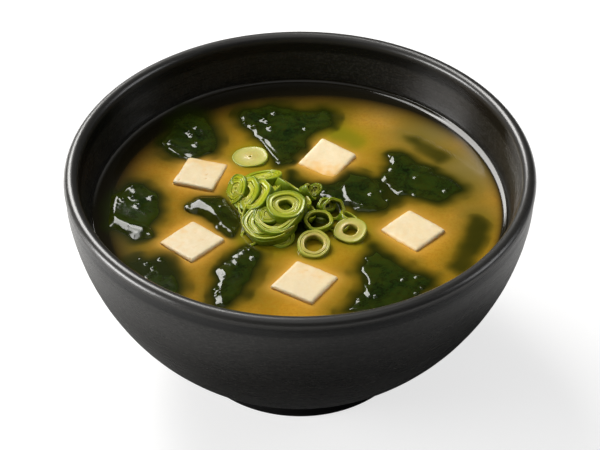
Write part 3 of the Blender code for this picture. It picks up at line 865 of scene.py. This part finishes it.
print("blisters on each leaf", [len(leaf["blisters"]) for leaf in LEAVES.values()])

# %% Leaves at their places
def thin_margin(edge):
    """How thin the leaf is, from the distance of each point to its margin."""
    return 0.8 * np.exp(-edge / 2.4)


leaf_tops = []
for seed, (name, leaf) in enumerate(LEAVES.items()):
    loop = smooth_loop(outline_of(name), 0.45 * MM)
    points, faces, edge, top = make_leaf(loop, leaf, seed + 1, at=middle_of(name))
    new_piece(name + "_leaf", points, faces, WAKAME_FINISH, "wakame", [name], thin=thin_margin(edge))
    leaf_tops.append(top)

# %% [markdown]
# Four more pieces of leaf lie just under the surface, and show only as dim shapes in the broth. They have no
# CAD solid, so their corners are listed here, in millimetres from the middle of the bowl.

# %% Sunk leaves
SUNK_LEAVES = {
    "sunk_leaf_back": (dict(lift=-0.5, ruffle=0.2, grain=-40, skirt=0.8, margin=2.4, droop=1.5), [
        (28.5, 28.5), (31, 28.5), (36, 25), (40, 21.5), (40.5, 19), (38, 16), (36.5, 15.5), (34, 19),
        (31, 23)]),
    "sunk_leaf_right": (dict(lift=-0.38, ruffle=0.2, grain=70, skirt=0.8, margin=2.4, droop=1.5), [
        (44.5, -5.5), (46.5, -5.5), (48.5, -9), (47.5, -14), (45, -20), (43, -25), (40.5, -27.5),
        (37, -25.5), (39, -21), (41, -15), (42.5, -9)]),
    "sunk_leaf_between": (dict(lift=-0.12, ruffle=0.2, grain=-30, skirt=1.0, margin=2.4, droop=1.2,
                               blisters=[(21.5, 4.5, 0.4, 0.5), (23, 1, 0.4, 0.5)]), [
        (15.5, 8), (19, 10.5), (24, 10), (28, 5), (27, -0.5), (22, -3), (16, -2)]),
    "sunk_leaf_middle": (dict(lift=-0.05, ruffle=0.25, grain=30, skirt=1.0, margin=2.6, droop=1.6,
                              blisters=[(3.6, 6.4, 0.5, 0.6), (6.5, 4.2, 0.45, 0.6), (8.4, 1.5, 0.5, 0.7)]), [
        (-3, 13), (1, 9.5), (6, 8.5), (12, 12), (15, 11), (14, 4), (11, -4), (8, -4), (5, -10), (1, -13),
        (-3, -12), (-5, 2)]),
}


def sunk_sheet(corners, leaf, seed):
    """A leaf that has no CAD solid, from its corners in millimetres."""
    loop = smooth_loop([Vector(corner) * MM for corner in corners], 0.6 * MM)
    return make_leaf(loop, leaf, seed, spacing=0.45)


for seed, (name, (leaf, corners)) in enumerate(SUNK_LEAVES.items()):
    points, faces, edge, top = sunk_sheet(corners, leaf, seed + 21)
    new_piece(name, points, faces, WAKAME_FINISH, "wakame", thin=thin_margin(edge))
    leaf_tops.append(top)

# %% [markdown]
# ## Scallion
# A slice of scallion is a set of rings, one inside another: a green skin, then paler and yellower layers,
# with a gap between some of them and a hollow in the middle. Each layer is a closed tube with rounded rims.
# A Boolean modifier could cut them from a cylinder, but tubes made point by point stay even, and each point
# knows how deep in the slice it is. The slices are squashed and cut a little aslant, as a knife does.

# %% One layer
def round_bend(angles, wobble, seed):
    """How far a ring strays from round at each angle."""
    circle = np.column_stack([np.cos(angles), np.sin(angles), 0 * angles]) * 1.3 + (seed, 0, 0)
    return 1 + wobble * np.array([noise.noise(Vector(p)) for p in circle.tolist()])


def ring_layer(outer, inner, top, bottom, turns, squash, slant, wobble, seed, relief):
    """A closed tube with rounded rims, as points, faces, and how deep in the shade each point is."""
    edge, middle = min((outer - inner) * 0.3, 0.26), (outer + inner) / 2
    dish = min(0.3 * (outer - inner), 0.2) * min(relief, 1)
    face = [(outer, top - edge - 0.08), (outer, top - edge), (outer - edge * 0.3, top - edge * 0.3),
            (outer - edge, top), (outer - edge - 0.12, top - 0.3 * dish), (middle, top - dish),
            (inner + edge + 0.12, top - 0.3 * dish), (inner + edge, top),
            (inner + edge * 0.3, top - edge * 0.3), (inner, top - edge), (inner, top - edge - 0.08)]
    under = [(inner, bottom * 0.5), (inner, bottom + edge), (inner + edge, bottom), (outer - edge, bottom)]
    profile = [(outer, bottom + edge), (outer, bottom * 0.5)] + face + under
    angles = np.linspace(0, 2 * math.pi, turns, endpoint=False)
    bend = round_bend(angles, wobble, seed)
    points = []
    for radius, height in profile:
        x, y = radius * bend * np.cos(angles) * squash, radius * bend * np.sin(angles) / squash
        points.append(np.column_stack([x, y, height + slant * x * (1 + height / (2 * abs(bottom)))]))
    rows = len(profile)
    pit = np.repeat([0.5, 0.25] + [0.0] * 9 + [0.25, 0.5, 1, 1, 1, 1], turns)
    faces = [[r * turns + c, r * turns + (c + 1) % turns, (r + 1) % rows * turns + (c + 1) % turns,
              (r + 1) % rows * turns + c] for r in range(rows) for c in range(turns)]
    return np.vstack(points), faces, pit


print("corners round a layer's section:", len(ring_layer(4, 3, 0, -3, 1, 1, 0, 0, 0, 1)[1]))

# %% A whole slice
THICK = ((1.0, 0.66), (0.645, 0.32))  # each layer's outer and inner radius, as shares of the slice's
THIN = ((1.0, 0.74),)
TRIPLE = ((1.0, 0.78), (0.77, 0.55), (0.53, 0.28))
SOLID = ((1.0, 0.72), (0.71, 0.42), (0.40, 0.10))


def make_slice(radius, length, rings, squash, slant, seed, relief, turns, wobble=0.14):
    """A slice with its face at z = 0, in millimetres, and for each point its depth from skin (0) to core (1)
    and how far down in the hollow it is."""
    tubes, depth, pits = [], [], []
    for k, (outer, inner) in enumerate(rings):
        rise = relief * (0.14 * math.sin(seed * 2.1 + k * 2.4) - 0.12 * k)
        tube, quads, pit = ring_layer(outer * radius, inner * radius, rise, -length, turns, squash, slant,
                                      wobble, seed * 1.7 + k * 0.3, relief)
        reach = np.hypot(tube[:, 0] / squash, tube[:, 1] * squash)
        tubes.append((tube, quads))
        depth.append(np.clip((radius - reach) / (radius * (1 - rings[-1][1])), 0, 1))
        pits.append(pit)
    return *joined(tubes), np.concatenate(depth), np.concatenate(pits)


def placed(points, x, y, face_height, lean, toward, turn=0.0):
    """Slice points in millimetres, leant and moved to their place in the frame, in metres."""
    axis = Vector((*heading(toward + 90), 0))
    tilt = Matrix.Rotation(math.radians(lean), 3, axis) @ Matrix.Rotation(math.radians(turn), 3, "Z")
    return (points @ np.array(tilt).T + (x, y, LEVEL / MM + face_height)) * MM


print("layers in a slice:", [len(rings) for rings in (THIN, THICK, TRIPLE, SOLID)])

# %% [markdown]
# Thin layers come loose when a stalk is sliced, and curl round the heap.

# %% A loose layer
CURL_STEPS = 40
CURL_SECTION = ((0.5, -0.9), (0.5, -0.15), (0.3, 0), (-0.3, 0), (-0.5, -0.15), (-0.5, -0.9), (-0.3, -1),
                (0.3, -1))


def make_curl(radius, wall, length, start, sweep, seed):
    """A layer that has come loose: part of a thin ring, thinner at its ends, closed there."""
    steps, rows = CURL_STEPS, len(CURL_SECTION)
    angles = np.radians(np.linspace(start, start + sweep, steps))
    taper = np.sin(np.linspace(0.12, math.pi - 0.12, steps)) ** 0.5
    bend = 1 + 0.12 * np.array([noise.noise(Vector((math.cos(a), math.sin(a), seed * 1.9))) for a in angles])
    points = []
    for out, down in CURL_SECTION:
        away = radius * bend + out * wall * taper
        points.append(np.column_stack([away * np.cos(angles), away * np.sin(angles), down * length * taper]))
    points = np.vstack(points)
    faces = [[r * steps + c, r * steps + c + 1, (r + 1) % rows * steps + c + 1, (r + 1) % rows * steps + c]
             for r in range(rows) for c in range(steps - 1)]
    faces += [[r * steps for r in range(rows)], [r * steps + steps - 1 for r in reversed(range(rows))]]
    depth = 0.5 - (np.hypot(points[:, 0], points[:, 1]) - radius) / wall
    pit = -points[:, 2] / length - 0.3
    return points, faces, np.clip(depth, 0, 1), np.clip(pit, 0, 1)


print("points in a loose layer:", CURL_STEPS * len(CURL_SECTION))

# %% [markdown]
# Colour follows the layers: a deep green skin, bright yellow green under it, and a pale core. The flesh lets
# light through, so a little subsurface scattering keeps the rings glowing.

# %% The scallion's finish
def scallion_finish(name, skin, flesh, core, wet, hollow=0.22):
    """A finish from three colours, how wet it is, and how much light reaches its hollows."""
    made, tree, shader = finish_material(
        name, Specular_IOR_Level=0.25, Coat_Weight=wet, Coat_Roughness=0.08, Coat_IOR=1.36,
        Subsurface_Weight=0.3, Subsurface_Scale=0.0015)
    shader.inputs["Subsurface Radius"].default_value = (0.7, 1.0, 0.2)
    depth = attribute(tree, "depth")
    fibres = effect(tree, MOTTLE, Size=0.8, Warp=0.4, Softness=0.25)
    outer = mix_colour(tree, spread(tree, depth, 0.02, 0.22), skin, flesh)
    inner = mix_colour(tree, spread(tree, depth, 0.35, 0.95), outer, core)
    veined = mix_colour(tree, spread(tree, fibres, 0, 1, 0, 0.3), inner, skin)
    # Painted shade: the hollows of each slice are painted darker, towards the skin's colour scaled by the
    # light that reaches them.
    shade = mix_colour(tree, attribute(tree, "pit"), veined, tuple(hollow * c for c in skin))
    tree.links.new(shade, shader.inputs["Base Color"])
    tree.links.new(spread(tree, fibres, 0, 1, 0.25, 0.4), shader.inputs["Roughness"])
    bump(tree, shader, effect(tree, GRAIN, Size=0.5, Pits=0.1), 0.15, 0.06)
    return made


GREEN_SCALLION = scallion_finish(
    "scallion", (0.16, 0.22, 0.004), (0.35, 0.375, 0.008), (0.49, 0.47, 0.06), 0.4, 0.8)
PALE_SCALLION = scallion_finish(
    "scallion_pale", (0.31, 0.33, 0.025), (0.47, 0.42, 0.075), (0.54, 0.42, 0.12), 0.25, 0.85)
# Painted shade: a dark green finish for the mound under the heap, which stands for the shadowed gaps deep in
# it.
PAINTED_SHADE_SCALLION = scallion_finish(
    "scallion_painted_shade", (0.05, 0.08, 0.001), (0.10, 0.13, 0.002), (0.17, 0.19, 0.004), 0.0)

# %% [markdown]
# Three slices lie apart from the heap. They come from the white end of the stalk, so they are paler, and
# rounder than the squashed green ones.

# %% The three slices that lie apart
LOOSE = {
    # from the node's middle: x, y, face height, radius, length, lean, toward, rings, squash
    "scallion_loose": (0, -0.1, 0.42, 4.6, 3.0, 2, 200, ((1.0, 0.05),), 1.05),
    "scallion_front": (0.3, -0.2, 1.6, 4.3, 3.0, 12, -80, ((1.0, 0.80), (0.798, 0.58)), 0.97),
    "scallion_right": (-0.1, -0.2, 1.6, 4.1, 3.0, 14, -100, ((1.0, 0.44),), 1.04),
}
slice_shells = []
for seed, (name, (x, y, high, radius, length, lean, toward, rings, squash)) in enumerate(LOOSE.items()):
    points, faces, depth, pit = make_slice(
        radius, length, rings, squash, 0.04, seed + 1, 0.4, 56, wobble=0.07)
    points = placed(points, *(middle_of(name) + (x, y)), high, lean, toward)
    new_piece(name + "_slice", points, faces, PALE_SCALLION, "scallion", [name], depth=depth, pit=pit)
    slice_shells.append((points, faces))

# %% [markdown]
# ## The heap
# The slices in the heap lie at every angle on a low mound. The mound is painted dark green, a painted shade
# for the shadowed gaps of the heap, and fills the space that can't be seen into; real slices lean on it and on
# each other. Rigid bodies could be dropped in a pile, but each slice here has its own place in the heap, so
# they are listed.

# %% The heap
HEAP_MIDDLE = middle_of("scallion_heap")
HEAP = [
    # from the heap's middle: x, y, face height, radius, length, lean, toward, rings, squash, turn
    (-0.8, -5, 6.0, 4.8, 3.7, 12, -80, ((1.0, 0.68), (0.665, 0.36)), 1.06, 0),
    (-5.0, -6.4, 4.1, 2.9, 1.8, 18, -120, SOLID, 1.05, 0),
    (6.6, 4.3, 3.1, 1.9, 1.2, 34, -110, SOLID, 1.15, 30),
    (9.8, -0.4, 2.1, 2.3, 1.6, 20, -60, THICK, 1.1, 0),
    (-3, -6.2, 4.5, 6.3, 2.4, 14, -150, ((1.0, 0.86), (0.85, 0.70)), 1.04, 70),
    (-5.1, -7.7, 2.9, 7.0, 2.6, 9, -110, TRIPLE, 0.97, 10),
    (-6.7, 8.8, 4.3, 5.0, 3.4, 24, 98, SOLID, 1.08, 20),
    (-14.1, 5.3, 2.6, 4.2, 1.9, 50, 200, SOLID, 1.0, 0),
    (-11.3, 2.5, 3.7, 4.6, 1.7, 44, 206, THICK, 1.0, 0),
    (-8.7, 0.5, 4.6, 4.8, 1.7, 36, 198, THICK, 1.05, 0),
    (-5.3, 2.7, 4.6, 3.6, 2.4, 30, 140, THICK, 1.0, 0),
    (0.7, 5.5, 3.6, 4.2, 2.6, 50, 40, THIN, 1.0, 0),
    (5.8, 3.8, 3.0, 2.5, 2.4, 60, 5, THIN, 1.0, 0),
    (7.6, -7.3, 2.9, 3.5, 2.8, 16, -90, THIN, 1.08, 0),
    (11.7, -2.7, 2.6, 3.0, 2.5, 40, -60, THIN, 1.0, 0),
    (15.5, -4.3, 1.4, 2.6, 2.2, 34, 30, THIN, 1.0, 0),
    (-9.7, -11.3, 0.9, 3.0, 1.6, 24, -140, THIN, 1.0, 0),
    (-1.7, -11.9, 1.0, 3.4, 1.6, 15, -80, THICK, 1.0, 0),
]
CURLS = [
    # x, y, top, radius, wall, height, start, sweep, lean, toward
    (-4.7, -6.7, 3.8, 7.6, 0.5, 2.2, 170, 130, 14, 220),
    (-5.5, -5.7, 4.6, 6.9, 0.45, 2.0, 150, 120, 24, 215),
    (-2.7, -7.5, 4.4, 5.6, 0.45, 1.8, 200, 120, 10, 250),
    (-1.5, -1.3, 5.2, 4.6, 0.55, 3.0, -20, 120, 10, 30),
    (1.3, -0.7, 4.8, 4.4, 0.5, 3.0, -30, 110, 20, 30),
    (3.7, -3.7, 3.4, 3.6, 0.45, 2.4, -60, 130, 24, 10),
    (-9.9, 5.5, 4.2, 4.4, 0.5, 2.4, 120, 120, 30, 160),
    (-9.4, -0.9, 3.0, 4.0, 0.6, 2.2, 170, 100, 20, 200),
    (12.7, -6.5, 1.6, 3.2, 0.45, 1.8, 190, 140, 12, 240),
]
bodies, depths, pits = [], [], []
for seed, (x, y, high, radius, length, lean, toward, rings, squash, turn) in enumerate(HEAP):
    points, faces, depth, pit = make_slice(radius, length, rings, squash, 0.05, seed + 7, 1.0, 48)
    bodies.append((placed(points, *(HEAP_MIDDLE + (x, y)), high, lean, toward, turn), faces))
    depths.append(depth)
    pits.append(pit)
for seed, (x, y, high, radius, wall, length, start, sweep, lean, toward) in enumerate(CURLS):
    points, faces, depth, pit = make_curl(radius, wall, length, start, sweep, seed)
    bodies.append((placed(points, *(HEAP_MIDDLE + (x, y)), high, lean, toward), faces))
    depths.append(depth)
    pits.append(pit)
points, faces = joined(bodies)
new_piece("scallion_heap_slices", points, faces, GREEN_SCALLION, "scallion", ["scallion_heap"],
          depth=np.concatenate(depths), pit=np.concatenate(pits))
slice_shells.append((points, faces))

# %% [markdown]
# A green scrap has sunk behind the middle of the bowl. It is made as the sunk leaves are.

# %% A scrap that has sunk
SCRAP = [(7.5, 30), (11, 31.5), (15.5, 29.5), (17, 26), (14.5, 23.5), (12.5, 25.5), (9, 27)]
points, faces, *_ = sunk_sheet(SCRAP, dict(lift=-0.3, ruffle=0.2, skirt=0.3, margin=1.6, droop=0.8), 31)
new_piece("scallion_scrap", points, faces, GREEN_SCALLION, "scallion",
          depth=np.full(len(points), 0.2), pit=np.zeros(len(points)))
slice_shells.append((points, faces))

# %% [markdown]
# The mound is the highest of a few round swellings at each point of a square grid, with some noise. The
# grid is cut off where the mound has gone under the broth.

# %% The mound under the heap
MOUND_STEPS, MOUND_BOTTOM = 90, -2.5
MOUND = [(-4.6, -2.6, 8.0, 3.6), (-6.6, 7.4, 5.0, 3.0), (-11.6, 3.4, 3.6, 1.8), (3.4, -0.1, 4.0, 1.6),
         (8.4, -3.6, 3.6, 0.7)]  # from the heap's middle: x, y, size, height
span = np.linspace(-21, 19, MOUND_STEPS)
mound = np.stack(np.meshgrid(span, span), -1).reshape(-1, 2)
rise = np.full(len(mound), MOUND_BOTTOM)
for x, y, size, high in MOUND:
    away = ((mound - (x, y)) ** 2).sum(1) / size ** 2
    rise = np.maximum(rise, (high - MOUND_BOTTOM) * np.exp(-away ** 1.5) + MOUND_BOTTOM)
rise += 0.5 * wave(on_level(mound) * MM, 3.0, 41)
keep = rise.reshape(MOUND_STEPS, MOUND_STEPS) > MOUND_BOTTOM + 0.3
index = np.arange(MOUND_STEPS ** 2).reshape(MOUND_STEPS, MOUND_STEPS)
corners = [(slice(None, -1), slice(None, -1)), (slice(None, -1), slice(1, None)),
           (slice(1, None), slice(1, None)), (slice(1, None), slice(None, -1))]
quads = np.stack([index[c] for c in corners], -1)[np.all([keep[c] for c in corners], 0)]
used, quads = np.unique(quads, return_inverse=True)
quads = quads.reshape(-1, 4).tolist()
points, faces = solid_sheet((mound[used] + HEAP_MIDDLE) * MM, quads, LEVEL + rise[used] * MM, 0.6 * MM)
new_piece("scallion_heap_mound", points, faces, PAINTED_SHADE_SCALLION, "scallion", ["scallion_heap"],
          depth=np.clip(0.4 + wave(points, 1.5, 44), 0, 1), pit=np.zeros(len(points)))
slice_shells.append((points, faces))

# %% [markdown]
# ## The broth
# Miso broth is cloudy: light goes a few millimetres in and comes back golden. Anything just under the surface
# shows through it and fades with depth. A volume could do that, but it renders slowly and doesn't leave
# Blender, so the surface is a fine mesh and each of its points knows how deep the nearest leaf, cube or slice
# lies under it. The broth climbs a little up the wall. From the back round to the left a thin pale line is
# painted where it meets the wall, a painted highlight of the meniscus.

# %% The broth's surface grid
RINGS, WALL_RINGS = 102, 24
WALL_BAND = 6 * MM
CLIMB, CLIMB_REACH = 0.9 * MM, 1.2 * MM


def disc_grid(rings):
    """A square grid bent into a disc, so that the mesh is even all over: each point's ring and angle."""
    steps = np.arange(-rings, rings + 1)
    a, b = np.meshgrid(steps, steps)
    ring = np.maximum(np.abs(a), np.abs(b))
    side = np.abs(a) >= np.abs(b)
    with np.errstate(divide="ignore", invalid="ignore"):
        angle = np.where(side, b / a * math.pi / 4 + np.where(a < 0, math.pi, 0),
                         math.pi / 2 - a / b * math.pi / 4 + np.where(b < 0, math.pi, 0))
    angle = np.where(ring == 0, 0, angle)
    return ring, angle


ring, angle = disc_grid(RINGS + WALL_RINGS)
shape = ring.shape
ring, angle = ring.ravel(), angle.ravel()
brim = float(wall_radius(LEVEL))
radius = np.where(ring <= RINGS, ring / RINGS * (brim - WALL_BAND),
                  brim - WALL_BAND + (ring - RINGS) / WALL_RINGS * WALL_BAND)
flat = np.column_stack([radius * np.cos(angle), radius * np.sin(angle)])
print("broth surface grid", shape, "points")

# %% [markdown]
# A tree of all the leaves' faces answers two questions for each point of the broth's surface: how deep is the
# leaf straight below, by casting a ray, and how far is the nearest one on any side. The tofu and the
# scallion need only the second.

# %% What lies under each point
FAR = 9.0  # in millimetres, where nothing can be seen through the broth any more


def tree_of(shells):
    points, faces = joined(shells)
    return BVHTree.FromPolygons(points.tolist(), faces)


def depth_under(tree):
    """How far under the broth's level the first thing below each point lies, in millimetres."""
    found = np.full(len(flat), FAR)
    for i, (x, y) in enumerate(flat.tolist()):
        hit = tree.ray_cast(Vector((x, y, LEVEL + FAR * MM)), Vector((0, 0, -1)), 2 * FAR * MM)[0]
        if hit is not None:
            found[i] = (LEVEL - hit.z) / MM
    return found


def distance_from(tree, reach):
    """Distance in millimetres from each point at the broth's level to the nearest surface, up to a reach."""
    found = np.full(len(flat), reach)
    for i, (x, y) in enumerate(flat.tolist()):
        *_, distance = tree.find_nearest(Vector((x, y, LEVEL - 0.2 * MM)), reach * MM)
        if distance is not None:
            found[i] = distance / MM
    return found


def soften(values, times):
    """Spreads each value into its neighbours on the square grid."""
    field = values.reshape(shape)
    for _ in range(times):
        padded = np.pad(field, 1, mode="edge")
        field = (padded[1:-1, 1:-1] * 4 + padded[:-2, 1:-1] + padded[2:, 1:-1]
                 + padded[1:-1, :-2] + padded[1:-1, 2:]) / 8
    return field.ravel()


leaf_tree = tree_of(leaf_tops)
slice_near = distance_from(tree_of(slice_shells), 6.0)
leaf_seen = soften(np.exp(-(np.clip(depth_under(leaf_tree), 0, FAR) / 1.1) ** 1.3), 2)
# Painted shadow of the leaves: a wide, soft dark halo round each.
leaf_shadow = soften(np.exp(-distance_from(leaf_tree, FAR) / 3.1), 12)
# Painted light: a warm glow beside each tofu cube.
tofu_glow = soften(np.exp(-distance_from(tree_of(tofu_shells), 6.0) / 1.3), 2)
slice_seen = soften(np.exp(-slice_near / 0.7), 3)
# Painted shade and green reflection round the scallion: a wide, soft halo.
slice_shade_and_reflection = soften(np.exp(-slice_near / 3.8), 12)
print("seen through the broth: leaf", round(float(leaf_seen.mean()), 3))

# %% [markdown]
# Broth wets the glaze, so its surface curves up where it meets the wall, a little more at the back. Its
# outermost ring of points reaches just into the wall, which hides the seam.

# %% The broth's surface
SEAM = 0.3 * MM
wall_gap = (brim - radius) / MM
back = np.clip(np.cos(angle - math.radians(85)), 0, 1) ** 2
rise = CLIMB * (1 + 0.4 * back) * np.exp(-wall_gap * MM / (CLIMB_REACH * (1 + 0.8 * back)))
height = LEVEL + rise
reach = np.where(ring == RINGS + WALL_RINGS, wall_radius(height) + SEAM, radius)
points = [np.column_stack([reach * np.cos(angle), reach * np.sin(angle), height])]
index = np.arange(len(flat)).reshape(shape)
faces = np.stack([index[:-1, :-1], index[:-1, 1:], index[1:, 1:], index[1:, :-1]], -1).reshape(-1, 4).tolist()
border = np.concatenate([index[0, :-1], index[:-1, -1], index[-1, :0:-1], index[:0:-1, 0]])
print("broth climbs", round(float(rise.max()) / MM, 2), "mm up the wall")

# %% [markdown]
# Below the surface the body follows the inside of the bowl, just clear of it, and closes over the floor.

# %% The broth's body
FLOOR_LEVELS = [FLOOR_HEIGHT + 1 * MM, FLOOR_HEIGHT + SEAM]
LEAST_RADIUS = 10 * MM
around, upper = angle[border], border
for level in [*np.linspace(LEVEL - 1 * MM, FLOOR_HEIGHT + 6 * MM, 14), *FLOOR_LEVELS]:
    reach = float(wall_radius(level)) - SEAM
    if level in FLOOR_LEVELS:
        reach = max(reach, LEAST_RADIUS)
    lower = np.arange(len(border)) + sum(len(p) for p in points)
    points.append(on_level(reach * np.column_stack([np.cos(around), np.sin(around)]), level))
    faces += np.column_stack([upper, lower, np.roll(lower, -1), np.roll(upper, -1)]).tolist()
    upper = lower
points.append([[0, 0, FLOOR_LEVELS[-1]]])
points = np.vstack(points)
faces += np.column_stack([upper, np.full(len(upper), len(points) - 1), np.roll(upper, -1)]).tolist()
print("broth body", round((LEVEL - FLOOR_HEIGHT) / MM, 1), "mm deep")

# %% [markdown]
# The finish starts as cloudy gold: big clouds, wisps and fine grains of miso. Then each value that the points
# carry lays its own colour over it: patches of painted light haze and of painted shade, painted shadow round
# the leaves, painted shade and green reflection round the scallion, warm light beside the tofu, the dark wall
# that shows near the edge with the rim's painted shadow, the meniscus's painted highlight, and at last the
# sunk shapes themselves.

# %% The broth's finish
def broth_finish():
    made, tree, shader = finish_material("broth", Roughness=0.09, IOR=1.37)
    clouds = effect(tree, MOTTLE, Size=15.0, Warp=1.0, Softness=0.25)
    wisps = effect(tree, MOTTLE, Size=5.0, Warp=1.4, Softness=0.3)
    base = mix_colour(tree, clouds, (0.40, 0.195, 0.008), (0.72, 0.32, 0.026))
    wispy = mix_colour(tree, spread(tree, wisps, 0, 1, 0, 0.5), base, (0.50, 0.28, 0.030))
    grains = effect(tree, MOTTLE, Size=0.8, Warp=0.8, Softness=0.12)
    cloudy = mix_colour(tree, spread(tree, grains, 0.5, 0.9, 0, 0.45), wispy, (0.48, 0.17, 0.008))
    # Painted light: pale grey haze patches where light lies on the broth at the right and back.
    light_hazed = mix_colour(tree, attribute(tree, "light_haze"), cloudy, (0.235, 0.168, 0.06))
    # Painted shade: dark patches where the broth lies in shade.
    patch_shaded = mix_colour(tree, attribute(tree, "dim"), light_hazed, (0.13, 0.085, 0.008))
    # Painted shadow: a wide dark halo round the leaves.
    leaf_shadowed = mix_colour(tree, attribute(tree, "leaf_shadow"), patch_shaded, (0.09, 0.074, 0.004))
    # Painted shade and green reflection round the scallion heap.
    heap_shaded = mix_colour(tree, attribute(tree, "slice_shade_and_reflection"), leaf_shadowed, (0.245, 0.195, 0.003))
    # Painted light: warm glow beside the tofu.
    glow = mix_colour(tree, attribute(tree, "tofu"), heap_shaded, (0.74, 0.40, 0.07))
    # The dark wall under thin broth at the edge, with the rim's painted shadow where it reaches far.
    wall_and_shadow = mix_colour(tree, attribute(tree, "wall"), glow, (0.010, 0.008, 0.003))
    # Painted highlight: a pale grey line where the meniscus meets the wall, from the back round to the left.
    meniscus_lit = mix_colour(tree, attribute(tree, "meniscus_highlight"), wall_and_shadow, (0.12, 0.116, 0.106))
    green = mix_colour(tree, attribute(tree, "slice"), meniscus_lit, (0.13, 0.15, 0.006))
    leafy = mix_colour(tree, attribute(tree, "leaf"), green, (0.012, 0.017, 0.0008))
    tree.links.new(leafy, shader.inputs["Base Color"])
    return made


# %% [markdown]
# The last values: where the broth gets painted shade and where it gets a painted haze of light, how far the
# dark wall and the rim's painted shadow reach into it in each direction, and the meniscus's painted highlight
# at the wall. Then the broth is one piece, with all its values on its points.

# %% The broth's painted light and shade, wall and meniscus highlight
# Painted shade: patches where the broth is painted darker, as if in shade.
PAINTED_SHADE_PATCHES = [(-45, -17, 8, 0.8), (-39, -16, 3.5, 0.5), (12, 44, 8, 0.6), (31, 36, 6, 0.5), (48, -1, 5, 0.3),
       (20, 31, 5, 0.3), (-37, -24, 6, 0.4), (0, 44, 10, 0.5), (-4, 14, 6, 0.5), (-40, 20, 6, 0.4),
       (-23, 31, 6, 0.3)]  # from the bowl's middle: x, y, size in millimetres, strength
# Painted light: patches where the broth is painted paler, a haze of light.
LIGHT_HAZE_PATCHES = [(45, 14, 14, 1.0), (36, 30, 12, 1.0), (26, 40, 10, 0.6), (46, -4, 8, 0.5)]
# How far the dark wall and the rim's painted shadow reach into the broth at each heading, farthest at the back
# and left.
HEADINGS = (-90, -60, 0, 30, 50, 70, 90, 120, 170, 200, 230, 270)
WALL_AND_RIM_SHADOW_REACH = (1.0, 1.0, 2.2, 3.4, 5.8, 9.2, 12.2, 11.4, 8.4, 6.0, 3.4, 1.0)


def patches_at(spots):
    """A field of round patches, given as x, y and size in millimetres, and strength."""
    return np.max([strength * round_spot(flat / MM, x, y, size) for x, y, size, strength in spots], 0)


degrees = np.degrees(angle)
degrees = np.where(degrees < -90, degrees + 360, degrees)
wall_and_rim_shadow = np.clip(1.3 * np.exp(-(wall_gap / np.interp(degrees, HEADINGS, WALL_AND_RIM_SHADOW_REACH)) ** 2), 0, 1)
# Painted highlight of the meniscus, in a narrow band at the wall, from the back round to the left.
meniscus_highlight = np.exp(-(wall_gap / 0.45) ** 2) * np.interp(degrees, (104, 122, 165, 184), (0, 1, 1, 0))
# How strong the painted shade and green reflection round the heap are: weaker on its left.
heap_shade_weight = np.interp(flat[:, 0] / MM, (-21, -14), (0.35, 1))
print("dark wall shows up to", max(WALL_AND_RIM_SHADOW_REACH), "mm into the broth")

# %% The broth
seen = dict(leaf=leaf_seen, leaf_shadow=0.95 * leaf_shadow, tofu=0.7 * tofu_glow, slice=0.6 * slice_seen,
            slice_shade_and_reflection=0.85 * heap_shade_weight * slice_shade_and_reflection, wall=wall_and_rim_shadow, meniscus_highlight=meniscus_highlight, light_haze=patches_at(LIGHT_HAZE_PATCHES),
            dim=patches_at(PAINTED_SHADE_PATCHES))
below = np.zeros(len(points) - len(flat))
new_piece("broth_pool", points, faces, broth_finish(), "broth", ["broth"],
          **{name: np.concatenate([values, below]) for name, values in seen.items()})
